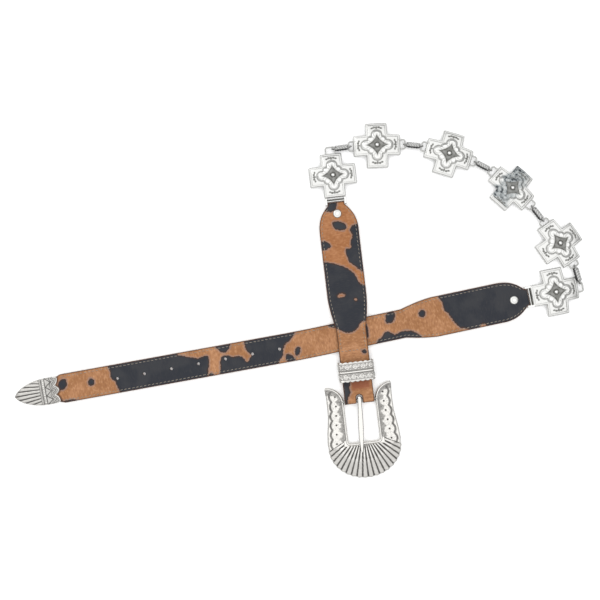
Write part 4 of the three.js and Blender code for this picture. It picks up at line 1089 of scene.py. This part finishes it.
def build_links():
    """Three strands twisted round a core, with an upright eye at each end."""
    steps, middle = 44, LINK["middle"]
    x = np.linspace(LINK["start"], LINK["end"], steps)
    parts = []
    for strand in range(3):
        spin = strand * TURN / 3 + np.linspace(0, LINK["twist"] * TURN, steps)
        aside, rise = STRAND["aside"] * np.cos(spin), STRAND["rise"] * np.sin(spin)
        thinned = np.clip(np.sin(np.linspace(0.35, math.pi - 0.35, steps)) * 2.2, 0.6, 1)
        path = np.column_stack([x, aside, middle + rise])
        points, faces, _ = tube(path, STRAND["radius"] * thinned, 14)
        # Patina in the twists, and the strands darken towards one side: painted shade on their lower side
        parts.append((points, faces, {"recess": 0.36 + 1.1 * smooth(1.1, 2.1, points[:, 1])}))
    core = np.column_stack([x, np.zeros(steps), np.full(steps, middle)])
    parts.append(tube(core, 1.0, 8, recess=0.9))
    spin = np.arange(28) * TURN / 28
    for centre in LINK["eyes"]:
        along, up = centre + EYE["radius"] * np.cos(spin), middle + EYE["radius"] * np.sin(spin)
        ring = np.column_stack([along, np.zeros(28), up])
        parts.append(tube(ring, EYE["wire"], 10, closed=True, recess=0.5))
    for number in range(1, 6):
        name = f"link_{number}"
        add_piece(f"twist_{number}", parts, name, WIRE, "belt", [name], 60)


# Tip cap


def cap_loop():
    """The tip cap's outline, from its scalloped rim to its point."""
    along = CAP_LENGTH * np.array(CAP_STATIONS)
    upper = np.column_stack([CAP_LENGTH - along, cap_half(along)])
    lobe = CAP_LOBE["half"]
    swell = np.linspace(0, 1, 9)
    middle = np.column_stack([3.4 * (swell**2.2), lobe * swell])
    hollow = 3.2 - 3.0 * np.sin(swell * math.pi * 0.62) ** 0.8
    side_lobe = np.column_stack([hollow, lobe + (upper[0, 1] - lobe) * swell])
    rim = np.concatenate([middle, [(CAP_LOBE["notch"], lobe)], side_lobe[1:]])
    half = np.concatenate([rim, upper[1:], [(CAP_LENGTH, 0)]])
    return resampled(np.concatenate([half, half[1:-1][::-1] * (1, -1)]), 0.7)


def rim_line():
    """The cap's scalloped rim, cut out of its outline."""
    outline = cap_loop()
    rim = outline[outline[:, 0] < CAP_LOBE["notch"] + 0.3]
    return rim[np.argsort(rim[:, 1])]


def cap_top(flat):
    """The cap's face: flutes towards the point, a beaded band, and a rim carved with echoes of its edge."""
    x, y = flat.T
    from_point = CAP_LENGTH - x
    past_beads = from_point - CAP_BEADS
    edge = signed_distance(flat, cap_loop())
    rim = path_distance(flat, rim_line())
    half = np.maximum(cap_half(from_point), 1.0)
    height = CAP_TOP - 1.0 + 1.0 * np.sin(np.clip(edge / 1.5, 0, 1) * math.pi / 2)
    height -= 0.6 * np.clip(np.abs(y) / half, 0, 1) ** 2
    angle = np.degrees(np.arctan2(y, x + CAP_FAN["focus"]))
    phase = np.abs((angle / CAP_FAN["pitch"]) % 1 - 0.5) * 2
    fluted = (from_point < CAP_FAN["end"]) * smooth(0.5, 1.0, edge)
    height += fluted * 0.6 * (1 - phase**2) * smooth(1, 6, from_point)
    band = stroke(past_beads, 0.8, 1.1) * smooth(0.5, 0.9, edge)
    beads = 0.5 + 0.5 * np.cos(y * TURN / 1.7)
    height += band * (0.3 + 0.35 * beads) * knob(past_beads, 1.2)
    gutters = np.maximum(stroke(past_beads + 1.7, 0.2, 0.55), stroke(past_beads - 1.5, 0.2, 0.55))
    worked = past_beads > 1.5
    echoes = np.maximum.reduce([stroke(rim - d, 0.2, 0.5) for d in (1.5, 3.0, 4.6)]) * worked
    zigzag = 4.4 + 2.6 * (np.abs((y / 4.0) % 2 - 1) * 2 - 1)
    carved = stroke(past_beads - zigzag, 0.35, 0.8) * worked * (rim > 2.2)
    height -= 0.22 * echoes + 0.22 * carved
    depths = {
        "flutes": 1.15 * fluted * smooth(0.42, 0.85, phase),
        "bead gaps": 0.7 * band * smooth(0.45, 0.1, beads),
        "stem": 0.6 * stroke(past_beads + 2.7, 0.2, 0.6),
        "gutters": 1.1 * gutters * smooth(0.4, 0.8, edge),
        "echoes": 0.95 * echoes,
        "zigzag": 1.25 * carved,
        "pits": 0.75 * worked * (rim > 1.8) * scatter(len(flat), 3),
        "plain": 0.36 * (rim > 1.3) * (1 - 0.6 * band),
    }
    return height, {"recess": np.maximum.reduce(list(depths.values())) * smooth(0.0, 0.4, edge)}


def build_cap():
    shell = plate([cap_loop()], [], CAP_STEP, cap_top, lambda flat: np.zeros(len(flat)), 3.0)
    add_piece("fluted_tip", [shell], "tip_cap", AGED, "belt", ["tip_cap"], 40)


# Rivets


def rivet_profile():
    """A post under a low round cap, as (radius, height) points."""
    top = FLARE_TOP
    post = [(0, 0.1), (1.2, 0.1), (1.2, top - 0.1)]
    cap = [(3.85, top - 0.05), (3.85, top + 0.35), (3.6, top + 0.7), (3.0, top + 0.98)]
    crown = [(2.0, top + 1.2), (1.0, top + 1.3), (0, top + 1.32)]
    return post + cap + crown


def build_rivets():
    """The caps have painted shade on their rounded rim and a thin turned ring."""
    for name in ("rivet_long", "rivet_short"):
        points, faces = turned(rivet_profile(), 48)
        radius = np.hypot(points[:, 0], points[:, 1])
        # Darker on the rounded rim: painted shade; the thin ring is a turned line
        recess = 0.62 * smooth(3.2, 3.7, radius) + 0.3 * (np.abs(radius - 2.0) < 0.2)
        cap = (points, faces, {"recess": recess})
        add_piece(f"{name}_cap", [cap], name, SILVER, "belt", [name], 50)


# Keeper


def keeper_height(across):
    share = np.clip(np.abs(across) / KEEPER["half"], 0, 1)
    return KEEPER["crown"] - KEEPER["drop"] + KEEPER["drop"] * np.sqrt(1 - share**4)


def keeper_path(count=150):
    """The keeper's outer side as (y, z) places with their outward normals."""
    half, shoulder = KEEPER["half"], KEEPER["crown"] - KEEPER["drop"]
    over = np.linspace(-1, 1, 4000)
    arch = np.column_stack([over * half, keeper_height(over * half)])
    left = np.column_stack([np.full(200, -half), np.linspace(0.6, shoulder, 200)])
    line = np.concatenate([left, arch, left[::-1] * (-1, 1)])
    length = np.concatenate([[0], np.cumsum(np.hypot(*np.diff(line, axis=0).T))])
    even = np.linspace(0, length[-1], count)
    places = np.column_stack([np.interp(even, length, line[:, 0]), np.interp(even, length, line[:, 1])])
    ahead = np.gradient(places, axis=0)
    ahead /= np.linalg.norm(ahead, axis=1)[:, None]
    return places, np.column_stack([-ahead[:, 1], ahead[:, 0]]), even - length[-1] / 2


def keeper_relief(along, distance, marks):
    """Height and patina of the floral bands beside the plain ridge."""
    aside = np.abs(along)
    ridge = 1 - smooth(0.5, 0.9, aside)
    ridge_groove = between(aside, (0.7, 0.95), (1.5, 2.0))
    rim = smooth(7.3, 7.8, aside)
    rim_groove = between(aside, (6.5, 6.9), (7.1, 7.5))
    band = between(aside, (1.5, 2.0), (6.5, 6.9))
    phase = distance * TURN / KEEPER["scroll"] + np.sign(along) * 0.9
    from_middle = aside - KEEPER["vine"]
    stem = stroke(from_middle - 1.5 * np.sin(phase), 0.3, 0.7)
    curl = np.hypot(from_middle + 1.2 * np.sin(phase), 1.9 * np.sin(phase / 2 + 0.8))
    leaves = smooth(0.2, 0.7, np.sin(phase * 2 + aside * 1.3) * np.cos(aside * 1.7 - phase))
    raised = np.maximum.reduce([stem, 0.8 * stroke(curl - 0.9, 0.25, 0.6), 0.8 * leaves])
    height = 0.55 * ridge + 0.35 * rim + band * 0.4 * raised - 0.2 * ridge_groove
    ground = band * (0.85 - 0.8 * raised) * (0.55 + 0.45 * marks)
    dull = 0.3 * marks * (aside > 0.8)
    return height, np.clip(np.maximum.reduce([0.85 * ridge_groove, 0.7 * rim_groove, ground, dull]), 0, 1)


def build_keeper():
    places, normals, distance = keeper_path()
    rows, columns = len(places), 64
    across = np.linspace(-1, 1, columns)
    turns = distance / (distance[-1] - distance[0]) * math.pi * KEEPER["scallops"]
    scallop = np.abs(np.sin(turns + math.pi / 2))
    reaches = KEEPER["length"] / 2 - 1.0 * (1 - scallop**0.7)
    outer, inner, marks = [], [], []
    for (y, z), (ny, nz), s, reach in zip(places, normals, distance, reaches):
        along, wall = across * reach, np.full(columns, KEEPER["wall"])
        height, recess = keeper_relief(along, np.full(columns, s), scatter(columns, int(1000 + s * 10)))
        height = height * (1 - smooth(0.93, 1.0, np.abs(across)))
        outer.append(np.column_stack([along, y + ny * height, z + nz * height]))
        inner.append(np.column_stack([along, y - ny * wall, z - nz * wall]))
        marks.append(recess)
    total = rows * columns
    faces = []
    for a in range(0, total - columns, columns):
        for j in range(a, a + columns - 1):
            faces.append((j, j + 1, j + 1 + columns, j + columns))
            faces.append((total + j, total + j + columns, total + j + columns + 1, total + j + 1))
        b = a + columns - 1
        faces.append((a, a + columns, total + a + columns, total + a))
        faces.append((b, total + b, total + b + columns, b + columns))
    recess = np.concatenate([*marks, np.full(total, 0.35)])
    arch = (np.concatenate(outer + inner), faces, {"recess": recess})
    foot = bar(-8.3, 8.3, KEEPER["half"], 0.0, 1.0)
    add_piece("worked_keeper", [arch, foot], "keeper", AGED, "keeper", ["keeper"], 50)


# Buckle


def horn_and_corner(first, horn_steps, corner_steps):
    """The inner line from a horn's tip to the opening's far corner."""
    half, horn, corner = OPENING["half"], HORN["radius"], OPENING["corner"]
    curve = arc(horn - HORN["reach"], half + horn, horn, first, 270, horn_steps)
    turn = arc(OPENING["reach"] - corner, half - corner, corner, 90, 0, corner_steps)
    return np.concatenate([curve, turn])


def buckle_half():
    """The frame's outline on one side: fan with dips between its ribs, side, horn and opening."""
    start, ribs = FAN["start"], FAN["ribs"] // 2
    fan = []
    for share in np.arange(ribs * 4 + 1) / (ribs * 4):
        dip = FAN["dip"] * abs(math.cos(share * ribs * math.pi)) ** 1.5
        angle = math.radians(90 * share)
        fan.append((start + (FAN["depth"] - dip) * math.cos(angle), (FAN["half"] - dip) * math.sin(angle)))
    side = [(start * share, half) for share, half in SIDE_SHARES]
    return np.concatenate([fan, side, SIDE_END, horn_and_corner(180, 20, 6)])


def mirrored(half):
    off_axis = half[np.abs(half[:, 1]) > 1e-6]
    return np.concatenate([half, off_axis[::-1] * (1, -1)])


def opening_path():
    """The line that runs up both horns and round the opening."""
    upper = horn_and_corner(184, 24, 8)
    return np.concatenate([upper, upper[::-1] * (1, -1)])


def wave_path(side):
    """The scalloped line near the outer edge of each side panel."""
    share = np.linspace(0, 1, 91)
    x = WAVE["start"] + WAVE["run"] * share
    bump = np.abs(np.sin(math.pi * WAVE["count"] * share))
    return np.column_stack([x, side * (panel_half(x) - WAVE["inset"] + WAVE["swing"] * bump)])


def panel_half(x):
    return SHOULDER_HALF + (FAN["half"] - SHOULDER_HALF) * np.clip((x - 3) / (FAN["start"] - 3), 0, 1)


def fan_ribs(x, y, edge):
    """Where the fan lies, the place within a rib, the reach from the fan's focus, and an arch of painted dark
    reflection.
    """
    focus = FAN["focus"]
    angle = np.degrees(np.arctan2(y, x - focus))
    reach = np.hypot(x - focus, y)
    cosine = np.maximum(np.cos(np.radians(angle)), 1e-3)
    sine = np.maximum(np.abs(np.sin(np.radians(angle))), 1e-3)
    near = np.minimum((OPENING["reach"] + LIP + 0.4 - focus) / cosine, FAN["half"] * 0.55 / sine)
    pitch = FAN["spread"] / FAN["ribs"]
    phase = np.abs((angle / pitch) % 1 - 0.5) * 2
    in_fan = (np.abs(angle) < FAN["spread"] / 2) & (x > OPENING["reach"] - 8)
    fan = in_fan * smooth(-0.4, 0.3, reach - near) * smooth(0.4, 1.0, edge)
    # A curved band across the fan: painted dark reflection
    arch = np.exp(-(((reach - 27.5 + 0.06 * np.abs(angle)) / 3.0) ** 2)) * (np.abs(angle) < 52)
    return in_fan, fan, phase, reach, arch


def buckle_top(flat):
    """The frame's face: a raised lip, ribs on the fan, and side panels with a wave, dots and punching."""
    x, y = flat.T
    edge = signed_distance(flat, BUCKLE_OUTLINE)
    opening = path_distance(flat, opening_path())
    in_fan, fan, phase, reach, arch = fan_ribs(x, y, edge)
    height = BUCKLE_TOP - 1.0 + 1.0 * np.sin(np.clip(edge / 1.2, 0, 1) * math.pi / 2)
    height -= 0.7 * smooth(16, 34, np.abs(y)) * (x < FAN["start"])
    lip = np.clip(opening / LIP, 0, 1)
    height += 0.75 * (opening < LIP) * knob(lip * 1.7 - 0.75, 1)
    gutter = between(opening, (LIP - 0.2, LIP + 0.1), (LIP + 0.4, LIP + 0.8))
    outer = smooth(26, 32, reach)
    height += fan * (1.0 * (1 - phase**2) * (1 - 0.45 * outer) - 0.25)
    groove = 0.5 + 0.08 * outer
    wave = np.minimum(path_distance(flat, wave_path(1)), path_distance(flat, wave_path(-1)))
    panel = (x < FAN["start"]) & ~in_fan
    line = (1 - smooth(0.72, 1.12, wave)) * ~in_fan
    height -= 0.4 * line
    share = (x - WAVE["start"]) / WAVE["run"] * WAVE["count"]
    from_dot = ((share % 1) - 0.5) * WAVE["run"] / WAVE["count"]
    dots = np.hypot(np.abs(y) - (panel_half(x) - DOTS["inset"]), from_dot)
    dots = (1 - smooth(0.6, 1.1, dots)) * panel * (opening > LIP + 1.0) * (x > DOTS["start"])
    height -= 0.35 * dots
    ragged = 5.7 + 1.4 * np.sin(share * TURN + 1) + 0.9 * np.sin(x * 1.3 + np.sign(y)) * np.sin(x * 0.7)
    punched = panel * smooth(ragged + 0.8, ragged - 0.6, opening) * (opening > LIP + 0.2)
    marks = scatter(len(flat), 7)
    height -= 0.14 * punched * marks
    stipple = punched * (0.47 + 0.45 * marks) + panel * (1 - punched) * 0.42 * smooth(0.5, 1.0, marks)
    depths = {
        "gutter": 0.75 * gutter * ~in_fan,
        "grooves": 1.15 * fan * smooth(groove, groove + 0.2, phase),
        "wave": 0.92 * line,
        "dots": 1.3 * dots,
        "stipple": stipple * (wave > 0.8),
        "fan": 0.38 * fan * outer,
        # Painted dark reflection in an arch across the fan
        "arch": 0.42 * fan * arch * (0.5 + 0.5 * phase),
        # Grey along the frame's outer bevel: painted shade on the edge that falls away
        "edge": 0.3 * (1 - smooth(0.7, 1.2, edge)) * (opening > 2),
    }
    return height, {"recess": np.maximum.reduce(list(depths.values()))}


BUCKLE_OUTLINE = resampled(mirrored(buckle_half()), 0.9)


def build_buckle():
    def under(flat):
        return np.full(len(flat), BUCKLE_FLOOR)

    casting = plate([BUCKLE_OUTLINE], [], BUCKLE_STEP, buckle_top, under, 4.0)
    axle = [(0, y, BAR_Z) for y in np.linspace(-BAR_HALF, BAR_HALF, 4)]
    # The bar is darkened all along: painted shade where its ends show beside the folded leather
    pin = tube(axle, BAR_RADIUS, 20, recess=0.7)
    add_piece("fan_buckle", [casting, pin], "buckle", AGED, "buckle", ["buckle_frame"], 40)


# Along the prong: place from the bar, half width, height of the middle, half thickness
PRONG_STATIONS = [
    (-4.3, 0.5, 4.3, 0.3), (-3.4, 1.2, 4.6, 0.6), (-1.6, 1.6, 4.9, 0.8), (0.5, 1.8, 4.95, 1.0),
    (3, 1.85, 4.8, 1.2), (6, 2.0, 4.9, 1.4), (12, 2.25, 5.45, 1.15), (24, 2.45, 5.5, 1.1),
    (34, 2.3, 5.45, 1.05), (38, 1.8, 5.5, 1.0), (42, 1.5, 5.5, 0.95), (45.6, 1.1, 5.6, 0.7),
    (47.4, 0.5, 5.7, 0.4),
]


def build_prong():
    """A smooth tongue with painted shade on its sides, and the eye that holds it on the bar."""
    sides = 24
    spin = -np.arange(sides) * TURN / sides
    c, s = np.cos(spin), np.sin(spin)
    rings = []
    for x, half, z, tall in PRONG_STATIONS:
        wide = np.sign(c) * np.abs(c) ** 0.8 * half
        high = np.sign(s) * np.abs(s) ** 0.8 * tall
        rings.append(np.column_stack([np.full(sides, x), wide, z + high]))
    # The tongue's steep sides darkened: painted shade
    edges = np.tile(smooth(0.7, 0.95, np.abs(c)), len(rings))
    part = (np.concatenate(rings), ring_faces(len(rings), sides), {"recess": 0.75 * edges})
    half, radius = PRONG_EYE["half"], PRONG_EYE["radius"]
    drum = [(0, y, BAR_Z) for y in (-half, 0.2 - half, half - 0.2, half)]
    eye = tube(drum, [radius - 0.3, radius, radius, radius - 0.3], 28, recess=0.6)
    add_piece("smooth_prong", [part, eye], "buckle", AGED, "prong", ["prong"], 60, PRONG_TURN)


# Floor, light and camera


def build_floor():
    """A white sheet just under the belt."""
    size, depth = 3.0, -0.3 * MM
    mesh = bpy.data.meshes.new("floor")
    corners = [(-size, -size, depth), (size, -size, depth), (size, size, depth), (-size, size, depth)]
    mesh.from_pydata(corners, [], [(0, 1, 2, 3)])
    material, _, shader = new_material("white_paper")
    shader.inputs["Base Color"].default_value = (0.93, 0.93, 0.93, 1)
    shader.inputs["Roughness"].default_value = 0.9
    shader.inputs["Specular IOR Level"].default_value = 0.1
    shader.inputs["Emission Color"].default_value = (1, 1, 1, 1)
    shader.inputs["Emission Strength"].default_value = 0.12
    mesh.materials.append(material)
    floor = bpy.data.objects.new("floor", mesh)
    bpy.context.scene.collection.objects.link(floor)


def add_light(name, position, size, power):
    """A square lamp in metres and watts, aimed at the middle of the belt."""
    light = bpy.data.lights.new(name, "AREA")
    light.shape = "SQUARE"
    light.size = size
    light.energy = power
    lamp = bpy.data.objects.new(name, light)
    lamp.location = position
    lamp.rotation_euler = (-Vector(position)).to_track_quat("-Z", "Y").to_euler()
    bpy.context.scene.collection.objects.link(lamp)


def build_light():
    add_light("overhead", (0.0, 0.0, 1.3), 3.4, 39.0)
    add_light("window", (-1.4, 1.2, 1.1), 1.0, 6.0)
    world = bpy.data.worlds.new("studio")
    world.use_nodes = True
    background = world.node_tree.nodes["Background"]
    background.inputs["Color"].default_value = (1, 1, 1, 1)
    background.inputs["Strength"].default_value = 0.45
    bpy.context.scene.world = world
    bpy.context.scene.view_settings.view_transform = "Standard"


def build_camera():
    """A camera that looks straight down; its height and the width it sees are in metres."""
    height, view = 0.62, 0.5562
    camera = bpy.data.cameras.new("camera")
    camera.sensor_width = 36.0
    camera.lens = camera.sensor_width * height / view
    camera.clip_start = 0.01
    holder = bpy.data.objects.new("camera", camera)
    holder.location = (0.6 * MM, -0.28 * MM, height)
    bpy.context.scene.collection.objects.link(holder)
    bpy.context.scene.camera = holder


build_straps()
build_conchos()
build_links()
build_cap()
build_rivets()
build_keeper()
build_buckle()
build_prong()
build_floor()
build_light()
build_camera()
